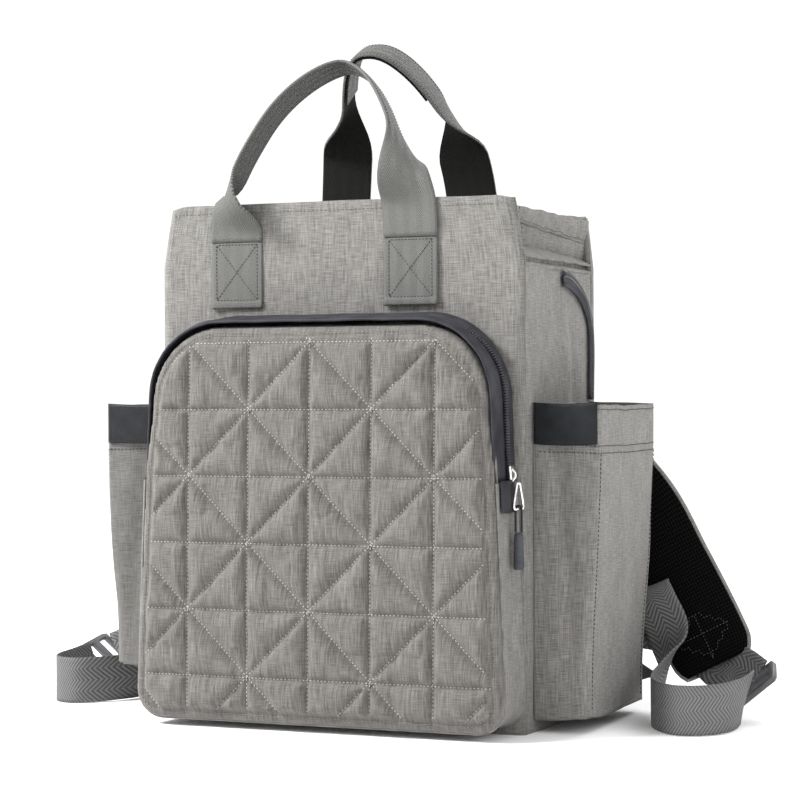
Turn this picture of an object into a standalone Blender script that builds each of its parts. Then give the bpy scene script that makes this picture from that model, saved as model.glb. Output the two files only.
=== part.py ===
"""A quilted diaper backpack, standing on its base with its straps laid out to each side.

Metres, +Z up, the quilted front facing -Y. The origin is the middle of the base, on the floor.
The bag is sewn from flat panels round an open hollow, so each panel is a piece of its own.
"""

import math

import bmesh
import bpy
from mathutils import Matrix, Vector

# The bag itself
WIDTH = 0.310
DEPTH = 0.175
BOX_TOP = 0.363
FABRIC = 0.004
BACK_FOAM = 0.008
GAP = 0.0003

# The raised front and rear wings, which stand above the zipped roof
FRONT_WING_RISE = 0.049
REAR_WING_RISE = 0.045
FRONT_WING_INSET = 0.008
REAR_WING_INSET = 0.005

# Roof flaps, their zip, and the folds between the wings
ROOF = 0.003
ROOF_INSET = 0.036
ZIP_TEETH = 0.0014
FOLD = 0.0016
FOLD_STEPS = ((0.0, 0.0024), (0.028, 0.021), (0.011, 0.039))

# Stiffener, lining and inner pocket
BOARD = 0.003
LINING = 0.0008
INNER_POCKET = (0.240, 0.150)

# Front pocket
POCKET_DEPTH = 0.047
POCKET_FACE = 0.006
POCKET_SKIN = 0.002
POCKET_LOW = 0.006
POCKET_TOP = BOX_TOP - 0.046
POCKET_TOP_INSET = 0.009
POCKET_BASE_INSET = 0.0
POCKET_TOP_RADIUS = 0.062
POCKET_BASE_RADIUS = 0.022
FRONT_ZIP_END = 0.1935
FRONT_ZIP_BACK = 0.0160

# Side pockets
SIDE_POCKET_REACH = 0.055
SIDE_POCKET_BASE_REACH = 0.044
SIDE_POCKET_FRONT_INSET = 0.0175
SIDE_POCKET_BACK_INSET = 0.0105
SIDE_POCKET_LOW = 0.010
SIDE_POCKET_TOP = 0.2535
SIDE_POCKET_RADIUS = 0.004
SIDE_POCKET_WALL = 0.0022
BAND_HEIGHT = 0.032
BAND = 0.002
BAND_INNER_INSET = 0.002
BAND_OUTER_INSET = 0.0005

# Handles and their sewn patches
HANDLE_CENTRE = -0.012
HANDLE_WIDTH = 0.045
GRIP_WIDTH = 0.025
WEBBING = 0.002
PATCH_HEIGHT = 0.053
PATCH_DROP = 0.030
FRONT_HANDLE_HALF = 0.075
FRONT_HANDLE_RISE = 0.141
FRONT_HANDLE_LEAN = 0.044
REAR_HANDLE_HALF = 0.060
REAR_HANDLE_RISE = 0.162
REAR_HANDLE_LEAN = 0.080
HANDLE_FOOT = 0.004
HANDLE_STAND_OFF = 0.65
HANDLE_STEPS = 26
FRONT_TWISTS = ((0.02, 0.36), (0.15, 0.50))  # left leg, right leg: where the twist starts, and its run
REAR_TWISTS = ((0.45, 0.33), (0.45, 0.33))
CLEAR_OF_WING = 0.060

# Shoulder straps, from the top down: how far along the way out, how far behind the bag, and how high
STRAP_WIDTH = 0.070
STRAP_FOAM = 0.009
STRAP_MESH = 0.003
STRAP_TOP_X = 0.080
STRAP_OUT = 0.048
STRAP_BELOW_YOKE = 0.002
STRAP_CURL = 0.2600  # above this height the strap keeps the curl that it has as it leaves the yoke
STRAP_ROUTE = [
    (0.000, 0.0185, 0.2840),
    (0.005, 0.0225, 0.2740),
    (0.045, 0.0275, 0.2600),
    (0.180, 0.0335, 0.2340),
    (0.393, 0.0355, 0.2000),
    (0.596, 0.0325, 0.1600),
    (0.742, 0.0275, 0.1150),
    (0.876, 0.0185, 0.0750),
    (1.000, 0.0055, 0.0370),
]
YOKE = 0.006
YOKE_INSET = 0.037
YOKE_LOW = BOX_TOP - 0.077
YOKE_TOP = BOX_TOP - 0.039
BACK_PAD = 0.010
BACK_PAD_INSET = 0.037
BACK_PAD_LOW = 0.030
BACK_PAD_TOP = BOX_TOP - 0.083

# Adjusting webbing: the right one, from the strap's end round to its tab at the bag's lower corner
STRAP_WEBBING = 0.038
STRAP_WEBBING_THICK = 0.0016
WEBBING_ROUTE = [
    ((0.2945, 0.0410, 0.0235), (0.30, 0.10, 1)),
    ((0.2970, 0.0140, 0.0205), (0.12, 0.05, 1)),
    ((0.2950, -0.0170, 0.0197), (0, 0, 1)),
    ((0.2850, -0.0400, 0.0197), (0, 0, 1)),
    ((0.2710, -0.0490, 0.0197), (0, 0, 1)),
    ((0.2570, -0.0470, 0.0197), (0, 0, 1)),
    ((0.2400, -0.0270, 0.0200), (0, 0, 1)),
    ((0.2270, 0.0060, 0.0205), (0, 0, 1)),
    ((0.2230, 0.0400, 0.0270), (0.15, -0.10, 1)),
    ((0.2230, 0.0720, 0.0420), (0.40, -0.20, 0.9)),
    ((0.2160, 0.0885, 0.0660), (0.85, -0.05, 0.5)),
    ((0.2060, 0.0860, 0.0880), (1.0, 0.05, 0.3)),
    ((0.2010, 0.0870, 0.0970), (1.0, 0.0, 0.3)),
    ((0.1980, 0.0910, 0.1000), (1.0, 0.0, 0.1)),
    ((0.1955, 0.0950, 0.0960), (1.0, 0.0, 0.0)),
    ((0.1920, 0.0950, 0.0800), (1.0, 0.0, 0.1)),
    ((0.1880, 0.0920, 0.0500), (1.0, 0.0, 0.1)),
]
TAB_REACH = 0.052
TAB_FOOT = (0.012, 0.062)
TAB_TIP = (0.028, 0.030)
TAB = 0.003

# Ladder locks, sliders and pulls
LOCK = (0.050, 0.034, 0.006)
LOCK_RIM = 0.005
LOCK_FROM_STRAP = (0.0345, -0.0290, -0.0125)
LOCK_WIDE = (0.77, 0.0, 0.64)
LOCK_TALL = (-0.25, 0.93, 0.27)
SLIDER = (0.009, 0.010, 0.005)
MAIN_PULL = (0.007, 0.024, 0.0016)
MAIN_SLIDER_START = 0.0062
FRONT_SLIDER = (0.0090, 0.0110)
FRONT_SLIDER_RISE = 0.0015
LOOP_DROP = 0.020
LOOP_HALF = 0.0048
LOOP_NECK = 0.45
LOOP_WIRE = 0.0009
CORD_DROP = 0.017
CORD_RADIUS = 0.0009
GRIP_LENGTH = 0.028
GRIP_RADIUS = 0.0042
GRIP_TAPER = 0.8
GRIP_EDGE = 0.001
SIDE_ZIP = (0.013, 0.0012)
SIDE_ZIP_INSET = 0.0175
SIDE_ZIP_CURVE = 0.310
SIDE_ZIP_CLEAR = 0.004

FRONT = -DEPTH / 2
BACK = DEPTH / 2
POCKET_FRONT = FRONT - POCKET_DEPTH
FRONT_WING_TOP = BOX_TOP + FRONT_WING_RISE
REAR_WING_TOP = BOX_TOP + REAR_WING_RISE
PATCH_TOP = FRONT_WING_TOP - PATCH_DROP
ROOF_HALF = WIDTH / 2 - ROOF_INSET
POCKET_TOP_HALF = WIDTH / 2 - POCKET_TOP_INSET
POCKET_BASE_HALF = WIDTH / 2 - POCKET_BASE_INSET
SIDE_POCKET_FRONT = FRONT + SIDE_POCKET_FRONT_INSET
SIDE_POCKET_BACK = BACK - SIDE_POCKET_BACK_INSET
STRAP_END_X = WIDTH / 2 + SIDE_POCKET_REACH + STRAP_OUT
SIDES = (("right", 1), ("left", -1))


def finish(name, colour, roughness, metallic=0.0):
    made = bpy.data.materials.new(name)
    made.use_nodes = True
    shader = made.node_tree.nodes["Principled BSDF"]
    shader.inputs["Base Color"].default_value = (*colour, 1)
    shader.inputs["Roughness"].default_value = roughness
    shader.inputs["Metallic"].default_value = metallic
    return made


def add(name, data, material):
    piece = bpy.data.objects.new(name, data)
    data.materials.append(material)
    PARTS.objects.link(piece)
    return piece


def add_mesh(name, shape, material):
    mesh = bpy.data.meshes.new(name)
    shape.to_mesh(mesh)
    shape.free()
    return add(name, mesh, material)


def plate(name, low, high, material):
    """A flat rectangular panel between two corners."""
    low, high = Vector(low), Vector(high)
    place = Matrix.Translation((low + high) / 2) @ Matrix.Diagonal((high - low).to_4d())
    place[3][3] = 1
    shape = bmesh.new()
    bmesh.ops.create_cube(shape, size=1, matrix=place)
    return add_mesh(name, shape, material)


def upright(name, outlines, low_y, high_y, material):
    """A flat panel standing across the bag: outlines in X and Z, the first one its edge, the rest holes."""
    curve = bpy.data.curves.new(name, "CURVE")
    curve.dimensions = "2D"
    curve.fill_mode = "BOTH"
    curve.extrude = (high_y - low_y) / 2
    for outline in outlines:
        spline = curve.splines.new("POLY")
        spline.points.add(len(outline) - 1)
        for point, (x, z) in zip(spline.points, outline):
            point.co = (x, z, 0, 1)
        spline.use_cyclic_u = True
    piece = add(name, curve, material)
    piece.location.y = (low_y + high_y) / 2
    piece.rotation_euler.x = math.pi / 2
    return piece


def strip(name, near, far, thickness, material, offset=0.0):
    """A sewn strip or wall that joins two edges, point by point, with its thickness from Solidify."""
    shape = bmesh.new()
    corners = [shape.verts.new(point) for point in near]
    edges = [shape.edges.new(pair) for pair in zip(corners, corners[1:])]
    made = bmesh.ops.extrude_edge_only(shape, edges=edges)["geom"]
    moved = {tuple(vert.co): vert for vert in made if isinstance(vert, bmesh.types.BMVert)}
    targets = [(moved[tuple(vert.co)], Vector(point)) for vert, point in zip(corners, far)]
    for vert, point in targets:
        vert.co = point
    piece = add_mesh(name, shape, material)
    wall = piece.modifiers.new("wall", "SOLIDIFY")
    wall.thickness = thickness
    wall.offset = offset
    wall.use_even_offset = True
    return piece


def ribbon(name, route, across, widths, thickness, material, lift=0.0):
    """A flat strap: its middle line, the way its width runs at each point, and its lift off that line."""
    near = []
    far = []
    for i, (point, direction) in enumerate(zip(route, across)):
        ahead = route[min(i + 1, len(route) - 1)] - route[max(i - 1, 0)]
        side = direction - direction.project(ahead)
        side.normalize()
        middle = point + side.cross(ahead).normalized() * lift
        near.append(middle - side * widths[i] / 2)
        far.append(middle + side * widths[i] / 2)
    return strip(name, near, far, thickness, material)


def smooth(points, steps):
    """A Catmull-Rom curve through the points, with the given number of steps between each two."""
    points = [Vector(point) for point in points]
    ends = [2 * points[0] - points[1], *points, 2 * points[-1] - points[-2]]
    route = []
    for a, b, c, d in zip(ends, ends[1:], ends[2:], ends[3:]):
        for step in range(steps):
            t = step / steps
            bend = (2 * a - 5 * b + 4 * c - d) * t**2 + (3 * b - a - 3 * c + d) * t**3
            route.append((2 * b + (c - a) * t + bend) / 2)
    return [*route, points[-1]]


def mirrored(points, side):
    return [Vector((side * x, y, z)) for x, y, z in points]


def arc(centre, radius, start, end, steps):
    angles = [math.radians(start + (end - start) * i / steps) for i in range(steps + 1)]
    return [(centre[0] + radius * math.cos(a), centre[1] + radius * math.sin(a)) for a in angles]


def on_joint(name, place, pieces):
    """An empty on a joint's axis, which the pieces that move on it hang from."""
    empty = bpy.data.objects.new(name, None)
    empty.location = place
    PARTS.objects.link(empty)
    for piece in pieces:
        piece.parent = empty
        piece.matrix_parent_inverse = Matrix.Translation(place).inverted()
    return empty


def make_panels():
    """Front and back panels run up into the wings. The sides and the base stand between them."""
    half = WIDTH / 2
    for name, wing_top, wing_half, low_y, high_y in (
        ("front_panel", FRONT_WING_TOP, half - FRONT_WING_INSET, FRONT, FRONT + FABRIC),
        ("back_panel", REAR_WING_TOP, half - REAR_WING_INSET, BACK - BACK_FOAM, BACK),
    ):
        outline = [(-half, 0), (half, 0), (half, BOX_TOP), (wing_half, wing_top)]
        outline += [(-wing_half, wing_top), (-half, BOX_TOP)]
        upright(name, [outline], low_y, high_y, LINEN)
    inner_front = FRONT + FABRIC + GAP
    inner_back = BACK - BACK_FOAM - GAP
    inner_half = WIDTH / 2 - FABRIC - GAP
    for side, sign in SIDES:
        xs = sorted((sign * (WIDTH / 2 - FABRIC), sign * WIDTH / 2))
        plate(f"side_panel_{side}", (xs[0], inner_front, 0), (xs[1], inner_back, BOX_TOP - ROOF - GAP), LINEN)
    plate("base_panel", (-inner_half, inner_front, 0), (inner_half, inner_back, FABRIC), LINEN)
    board_low = FABRIC + GAP
    board_half = inner_half - 2 * GAP
    board_front = inner_front + 2 * GAP
    board_back = inner_back - 2 * GAP
    board_top = board_low + BOARD
    board_corner = (board_half, board_back, board_top)
    plate("base_board", (-board_half, board_front, board_low), board_corner, BOARD_GREY)
    make_lining(board_half, board_front, board_back, board_top + GAP)
    return inner_front, inner_back


def make_lining(half, front, back, low):
    """The lining is a tub with an open top, and one slip pocket is sewn to its back wall."""
    top = BOX_TOP - ROOF - 4 * GAP
    shape = bmesh.new()
    size = Vector((2 * half, back - front, top - low))
    place = Matrix.Translation((0, (front + back) / 2, (low + top) / 2)) @ Matrix.Diagonal((*size, 1))
    bmesh.ops.create_cube(shape, size=1, matrix=place)
    lids = [face for face in shape.faces if face.normal.z > 0.5]
    bmesh.ops.delete(shape, geom=lids, context="FACES")
    tub = add_mesh("lining", shape, LINING_GREY)
    wall = tub.modifiers.new("wall", "SOLIDIFY")
    wall.thickness = LINING
    wall.offset = -1
    pocket_back = back - LINING - GAP
    pocket_low = low + LINING + 0.02
    plate(
        "inner_pocket",
        (-INNER_POCKET[0] / 2, pocket_back - 2 * LINING, pocket_low),
        (INNER_POCKET[0] / 2, pocket_back, pocket_low + INNER_POCKET[1]),
        LINING_GREY,
    )


def make_roof(inner_front, inner_back):
    """Two roof flaps meet at the main zip. Strips at each end carry the folds between the wings."""
    low = BOX_TOP - ROOF
    front_edge = inner_front + 5 * GAP
    rear_edge = inner_back - 5 * GAP
    seam = ZIP_TEETH + 2 * GAP
    front_flap = plate("top_flap_front", (-ROOF_HALF, front_edge, low), (ROOF_HALF, -seam, BOX_TOP), LINEN)
    rear_flap = plate("top_flap_rear", (-ROOF_HALF, seam, low), (ROOF_HALF, rear_edge, BOX_TOP), LINEN)
    teeth = []
    for name, start, end in (
        ("main_zip_teeth_front", -ZIP_TEETH - GAP, -GAP / 2),
        ("main_zip_teeth_rear", GAP / 2, ZIP_TEETH + GAP),
    ):
        zs = (BOX_TOP - ROOF / 2 - ZIP_TEETH / 2, BOX_TOP - ROOF / 2 + ZIP_TEETH / 2)
        teeth.append(plate(name, (-ROOF_HALF, start, zs[0]), (ROOF_HALF, end, zs[1]), ZIP_DARK))
    for side, sign in SIDES:
        xs = sorted((sign * (ROOF_HALF + 4 * GAP), sign * WIDTH / 2))
        plate(f"top_corner_{side}", (xs[0], inner_front, low), (xs[1], inner_back, BOX_TOP), LINEN)
        outer = WIDTH / 2 - 3 * GAP
        fold = [(outer - inwards, BOX_TOP + up) for inwards, up in FOLD_STEPS]
        near = [Vector((sign * x, inner_front, z)) for x, z in fold]
        far = [Vector((sign * x, inner_back, z)) for x, z in fold]
        strip(f"wing_gusset_{side}", near, far, FOLD, LINEN)
    on_joint("front_flap_hinge", (0, front_edge, BOX_TOP), [front_flap, teeth[0]])
    on_joint("rear_flap_hinge", (0, rear_edge, BOX_TOP), [rear_flap, teeth[1]])
    for side, sign in SIDES:
        make_main_slider(side, sign)


def make_main_slider(side, sign):
    """A zip slider over the roof's teeth, with a flat pull that lies outwards on the flap."""
    long, wide, high = SLIDER
    low = BOX_TOP + GAP
    middle = sign * (MAIN_SLIDER_START + long / 2)
    ends = (middle - long / 2, middle + long / 2)
    slider = plate(f"main_slider_{side}", (ends[0], -wide / 2, low), (ends[1], wide / 2, low + high), SILVER)
    start = sign * (MAIN_SLIDER_START + long + GAP)
    pull_wide, pull_long, pull_thick = MAIN_PULL
    xs = sorted((start, start + sign * pull_long))
    pull_low = low + 2 * GAP
    pull_top = pull_low + pull_thick
    half = pull_wide / 2
    pull = plate(f"main_pull_{side}", (xs[0], -half, pull_low), (xs[1], half, pull_top), SILVER)
    on_joint(f"main_slider_{side}_slide", (middle, 0, low), [slider])
    on_joint(f"main_pull_{side}_hinge", (start, 0, pull_top), [pull])


def pocket_half(z):
    """Half the front pocket's width at a height: it flares a little towards the base."""
    low = POCKET_LOW + POCKET_BASE_RADIUS
    high = POCKET_TOP - POCKET_TOP_RADIUS
    share = (z - low) / (high - low)
    return POCKET_BASE_HALF + (POCKET_TOP_HALF - POCKET_BASE_HALF) * share


def pocket_arch(low, inset=0.0):
    """The pocket's edge above a height, from its left side over the top to its right side."""
    radius = POCKET_TOP_RADIUS - inset
    centre = (POCKET_TOP_HALF - POCKET_TOP_RADIUS, POCKET_TOP - POCKET_TOP_RADIUS)
    right = [(pocket_half(low) - inset, low), *arc(centre, radius, 0, 90, 8)]
    left = [(-x, z) for x, z in right]
    return left + right[::-1]


def pocket_bowl(high, inset=0.0):
    """The pocket's edge below a height, from its left side under the base to its right side."""
    radius = POCKET_BASE_RADIUS - inset
    centre = (POCKET_BASE_HALF - POCKET_BASE_RADIUS, POCKET_LOW + POCKET_BASE_RADIUS)
    right = [(pocket_half(high) - inset, high), *arc(centre, radius, 0, -90, 5)]
    left = [(-x, z) for x, z in right]
    return left + right[::-1]


def along_y(outline, y):
    return [Vector((x, y, z)) for x, z in outline]


def make_front_pocket():
    """The quilted face is cut across at the zip's ends: the part above folds forward about that line."""
    face_back = POCKET_FRONT + POCKET_FACE
    hinge_z = FRONT_ZIP_END
    upper = upright("pocket_face_upper", [pocket_arch(hinge_z + GAP)], POCKET_FRONT, face_back, QUILT)
    upright("pocket_face_lower", [pocket_bowl(hinge_z - GAP)], POCKET_FRONT, face_back, QUILT)
    skin_front = face_back + GAP
    skin_back = FRONT - GAP
    teeth_back = FRONT - FRONT_ZIP_BACK
    arch = pocket_arch(hinge_z + GAP, POCKET_SKIN / 2)
    moving = strip(
        "pocket_gusset_front",
        along_y(arch, skin_front),
        along_y(arch, teeth_back - 2 * ZIP_TEETH - 3 * GAP),
        POCKET_SKIN,
        ZIP_DARK,
    )
    tape_front = teeth_back + GAP
    strip("pocket_gusset_rear", along_y(arch, tape_front), along_y(arch, skin_back), POCKET_SKIN, ZIP_DARK)
    teeth = []
    for name, step in (("front_zip_teeth_front", 1), ("front_zip_teeth_rear", 0)):
        end = teeth_back - step * (ZIP_TEETH + GAP)
        teeth.append(strip(name, along_y(arch, end - ZIP_TEETH), along_y(arch, end), ZIP_TEETH, ZIP_METAL))
    bowl = pocket_bowl(hinge_z - GAP, POCKET_SKIN / 2)
    corner = POCKET_LOW + POCKET_BASE_RADIUS
    for side, sign in SIDES:
        edge = [(sign * (pocket_half(z) - POCKET_SKIN / 2), z) for z in (hinge_z - GAP, corner + GAP)]
        front = along_y(edge, skin_front)
        strip(f"pocket_gusset_{side}", front, along_y(edge, skin_back), POCKET_SKIN, LINEN)
    base = bowl[1:-1]
    strip("pocket_gusset_base", along_y(base, skin_front), along_y(base, skin_back), POCKET_SKIN, LINEN)
    on_joint("pocket_flap_hinge", (0, POCKET_FRONT, hinge_z), [upper, moving, teeth[0]])
    make_front_slider(teeth_back - ZIP_TEETH)


def make_front_slider(y):
    """The front zip's slider at the right end, its wire loop, a doubled cord and a moulded grip."""
    wide, long = FRONT_SLIDER
    face = pocket_half(FRONT_ZIP_END) + 2 * GAP
    low = FRONT_ZIP_END + FRONT_SLIDER_RISE
    loop_top = low - 2 * LOOP_WIRE - GAP
    lowest = loop_top - LOOP_DROP - CORD_DROP - GRIP_LENGTH
    x = pocket_half(lowest) + GRIP_RADIUS + 4 * GAP
    corner = (x + LOOP_WIRE, y + wide / 2, low + long)
    slider = plate("front_slider", (face, y - wide / 2, low), corner, SILVER)
    loop = wire_loop("front_pull", x, y, loop_top, LOOP_DROP, LOOP_HALF, LOOP_WIRE)
    wire_z = loop_top - LOOP_DROP
    cord = bpy.data.curves.new("front_pull_cord", "CURVE")
    cord.dimensions = "3D"
    cord.bevel_depth = CORD_RADIUS
    cord.bevel_resolution = 2
    cord.use_fill_caps = True
    bend = LOOP_WIRE + CORD_RADIUS + 2 * GAP
    foot = wire_z - CORD_DROP
    points = [(-bend, foot - wire_z), *arc((0, 0), bend, 180, 0, 10), (bend, foot - wire_z)]
    spline = cord.splines.new("POLY")
    spline.points.add(len(points) - 1)
    for point, (across, height) in zip(spline.points, points):
        point.co = (x + across, y, wire_z + height, 1)
    cord_piece = add("front_pull_cord", cord, CORD_BLACK)
    grip = moulded_grip(x, y, foot - GAP)
    on_joint("front_slider_slide", (face, y, low), [slider])
    on_joint("front_pull_hinge", (x, y, loop_top), [loop])
    on_joint("front_grip_hinge", (x, y, wire_z), [cord_piece, grip])


def wire_loop(name, x, y, top, drop, half, wire):
    """A closed loop of wire, wider at its foot, hanging in the plane of the pocket's side."""
    narrow = half * LOOP_NECK
    outline = [(y - narrow, top), (y + narrow, top), (y + half, top - drop), (y - half, top - drop)]
    curve = bpy.data.curves.new(name, "CURVE")
    curve.dimensions = "3D"
    curve.bevel_depth = wire
    curve.bevel_resolution = 2
    spline = curve.splines.new("POLY")
    spline.points.add(len(outline) - 1)
    for point, (along, height) in zip(spline.points, outline):
        point.co = (x, along, height, 1)
    spline.use_cyclic_u = True
    return add(name, curve, SILVER)


def moulded_grip(x, y, top):
    """A tapered moulded tube, with a bevelled edge at each end."""
    shape = bmesh.new()
    place = Matrix.Translation((x, y, top - GRIP_LENGTH / 2))
    bmesh.ops.create_cone(
        shape,
        cap_ends=True,
        segments=16,
        radius1=GRIP_RADIUS,
        radius2=GRIP_RADIUS * GRIP_TAPER,
        depth=GRIP_LENGTH,
        matrix=place,
    )
    grip = add_mesh("front_grip", shape, GRIP_GREY)
    edge = grip.modifiers.new("edge", "BEVEL")
    edge.width = GRIP_EDGE
    edge.segments = 2
    grip.data.shade_smooth()
    return grip


def make_side_pockets():
    """Each side pocket is one wall wrapped round three sides, a base, and a band across its front."""
    inner = WIDTH / 2 + GAP
    for side, sign in SIDES:
        edges = []
        for reach, z in ((SIDE_POCKET_BASE_REACH, SIDE_POCKET_LOW), (SIDE_POCKET_REACH, SIDE_POCKET_TOP)):
            out = WIDTH / 2 + reach - SIDE_POCKET_RADIUS
            near = arc((out, SIDE_POCKET_FRONT + SIDE_POCKET_RADIUS), SIDE_POCKET_RADIUS, -90, 0, 3)
            far = arc((out, SIDE_POCKET_BACK - SIDE_POCKET_RADIUS), SIDE_POCKET_RADIUS, 0, 90, 3)
            route = [(inner, SIDE_POCKET_FRONT), *near, *far, (inner, SIDE_POCKET_BACK)]
            edges.append([Vector((sign * x, y, z)) for x, y in route])
        strip(f"side_pocket_wall_{side}", *edges, SIDE_POCKET_WALL, LINEN)
        clear = SIDE_POCKET_WALL / 2 + 2 * GAP
        out = WIDTH / 2 + SIDE_POCKET_BASE_REACH - clear
        xs = sorted((sign * inner, sign * out))
        front = SIDE_POCKET_FRONT + clear
        back = SIDE_POCKET_BACK - clear
        top = SIDE_POCKET_LOW + SIDE_POCKET_WALL
        base = plate(f"side_pocket_base_{side}", (xs[0], front, SIDE_POCKET_LOW), (xs[1], back, top), LINEN)
        round_corners(base, sign * out, SIDE_POCKET_RADIUS)
        band_out = WIDTH / 2 + SIDE_POCKET_REACH - SIDE_POCKET_RADIUS - BAND_OUTER_INSET
        xs = sorted((sign * (inner + BAND_INNER_INSET), sign * band_out))
        face = SIDE_POCKET_FRONT - SIDE_POCKET_WALL / 2 - GAP
        corner = (xs[0], face - BAND, SIDE_POCKET_TOP - BAND_HEIGHT)
        plate(f"side_pocket_band_{side}", corner, (xs[1], face, SIDE_POCKET_TOP), BAND_DARK)


def round_corners(piece, x, radius):
    """Rounds the two upright edges of a plate that stand at one x."""
    shape = bmesh.new()
    shape.from_mesh(piece.data)
    uprights = []
    for edge in shape.edges:
        a, b = edge.verts
        if abs(a.co.x - x) < GAP and abs(b.co.x - x) < GAP and abs(a.co.y - b.co.y) < GAP:
            uprights.append(edge)
    bmesh.ops.bevel(
        shape, geom=uprights, offset=radius, affect="EDGES", segments=4, profile=0.5, material=-1
    )
    shape.to_mesh(piece.data)
    shape.free()


def eased(value):
    """A smooth rise from 0 to 1 as the value goes from 0 to 1."""
    value = min(max(value, 0), 1)
    return value * value * (3 - 2 * value)


def make_handle(name, side, half, rise, lean, squareness, twists):
    """Webbing that rises from two patches, clears the wing as it twists, and folds in half for the grip."""
    outer = side * (DEPTH / 2 + GAP + WEBBING)
    middle_y = side * (DEPTH / 2 + 2 * GAP + WEBBING * HANDLE_STAND_OFF)
    for patch_side, sign in SIDES:
        middle = HANDLE_CENTRE + sign * half
        ys = sorted((side * (DEPTH / 2 + GAP), outer))
        plate(
            f"{name}_patch_{patch_side}",
            (middle - HANDLE_WIDTH / 2, ys[0], PATCH_TOP - PATCH_HEIGHT),
            (middle + HANDLE_WIDTH / 2, ys[1], PATCH_TOP),
            WEBBING_GREY,
        )
    low = PATCH_TOP + GAP
    spring = low + HANDLE_FOOT
    tilt = math.atan2(lean, rise)
    leaning = Vector((0, math.cos(tilt), side * math.sin(tilt)))
    route = [Vector((HANDLE_CENTRE - half, middle_y, low))]
    across = [Vector((1, 0, 0))]
    widths = [HANDLE_WIDTH]
    for i in range(HANDLE_STEPS + 1):
        turn = math.pi * i / HANDLE_STEPS
        rising = math.sin(turn)
        run = -math.copysign(abs(math.cos(turn)) ** squareness, math.cos(turn))
        z = spring + (rise - HANDLE_FOOT) * rising
        start, length = twists[0] if turn < math.pi / 2 else twists[1]
        share = eased((rising - start) / length)
        twist = share * math.pi / 2
        width = HANDLE_WIDTH + (GRIP_WIDTH - HANDLE_WIDTH) * share
        standing_off = width / 2 * math.sin(twist) * (1 - eased((z - FRONT_WING_TOP) / CLEAR_OF_WING))
        y = middle_y - side * lean * rising**3 + side * standing_off
        route.append(Vector((HANDLE_CENTRE + half * run, y, z)))
        flat = math.copysign(math.cos(twist), math.cos(turn))
        across.append(Vector((flat, 0, 0)) + side * leaning * math.sin(twist))
        widths.append(width)
    route.append(Vector((HANDLE_CENTRE + half, middle_y, low)))
    across.append(Vector((-1, 0, 0)))
    widths.append(HANDLE_WIDTH)
    handle = ribbon(name, route, across, widths, WEBBING, WEBBING_GREY)
    on_joint(f"{name}_hinge", (HANDLE_CENTRE, middle_y + side * WEBBING / 2, PATCH_TOP), [handle])


def make_side_zips():
    """The ends of the main zip run down each side, curving back to the side pocket's rear corner."""
    wide, thick = SIDE_ZIP
    run = BACK - SIDE_ZIP_INSET
    rise = BOX_TOP - ROOF - 4 * GAP - wide / 2 - SIDE_ZIP_CURVE
    for side, sign in SIDES:
        angles = [math.radians(90 - 9 * i) for i in range(11)]
        route = [(run * math.cos(a), SIDE_ZIP_CURVE + rise * math.sin(a)) for a in angles]
        route.append((run, SIDE_POCKET_TOP + SIDE_ZIP_CLEAR))
        near = []
        far = []
        for i, (y, z) in enumerate(route):
            ahead = Vector(route[min(i + 1, len(route) - 1)]) - Vector(route[max(i - 1, 0)])
            ahead.normalize()
            x = sign * (WIDTH / 2 + GAP + thick / 2)
            near.append(Vector((x, y - ahead.y * wide / 2, z + ahead.x * wide / 2)))
            far.append(Vector((x, y + ahead.y * wide / 2, z - ahead.x * wide / 2)))
        strip(f"main_zip_side_{side}", near, far, thick, ZIP_DARK)


def make_back():
    """The back panel's padding, the yoke that the straps are sewn under, and the webbing's tabs."""
    face = BACK + GAP
    pad_half = WIDTH / 2 - BACK_PAD_INSET
    yoke_half = WIDTH / 2 - YOKE_INSET
    plate("back_mesh_pad", (-pad_half, face, BACK_PAD_LOW), (pad_half, face + BACK_PAD, BACK_PAD_TOP), MESH)
    plate("strap_yoke", (-yoke_half, face, YOKE_LOW), (yoke_half, face + YOKE, YOKE_TOP), LINEN)
    for side, sign in SIDES:
        start = WIDTH / 2 + GAP
        tip = start + TAB_REACH
        outline = [(start, TAB_FOOT[0]), (tip, TAB_TIP[0]), (tip, TAB_TIP[1]), (start, TAB_FOOT[1])]
        outline = [(sign * x, z) for x, z in outline]
        upright(f"strap_anchor_{side}", [outline], BACK - TAB, BACK, WEBBING_GREY)


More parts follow.
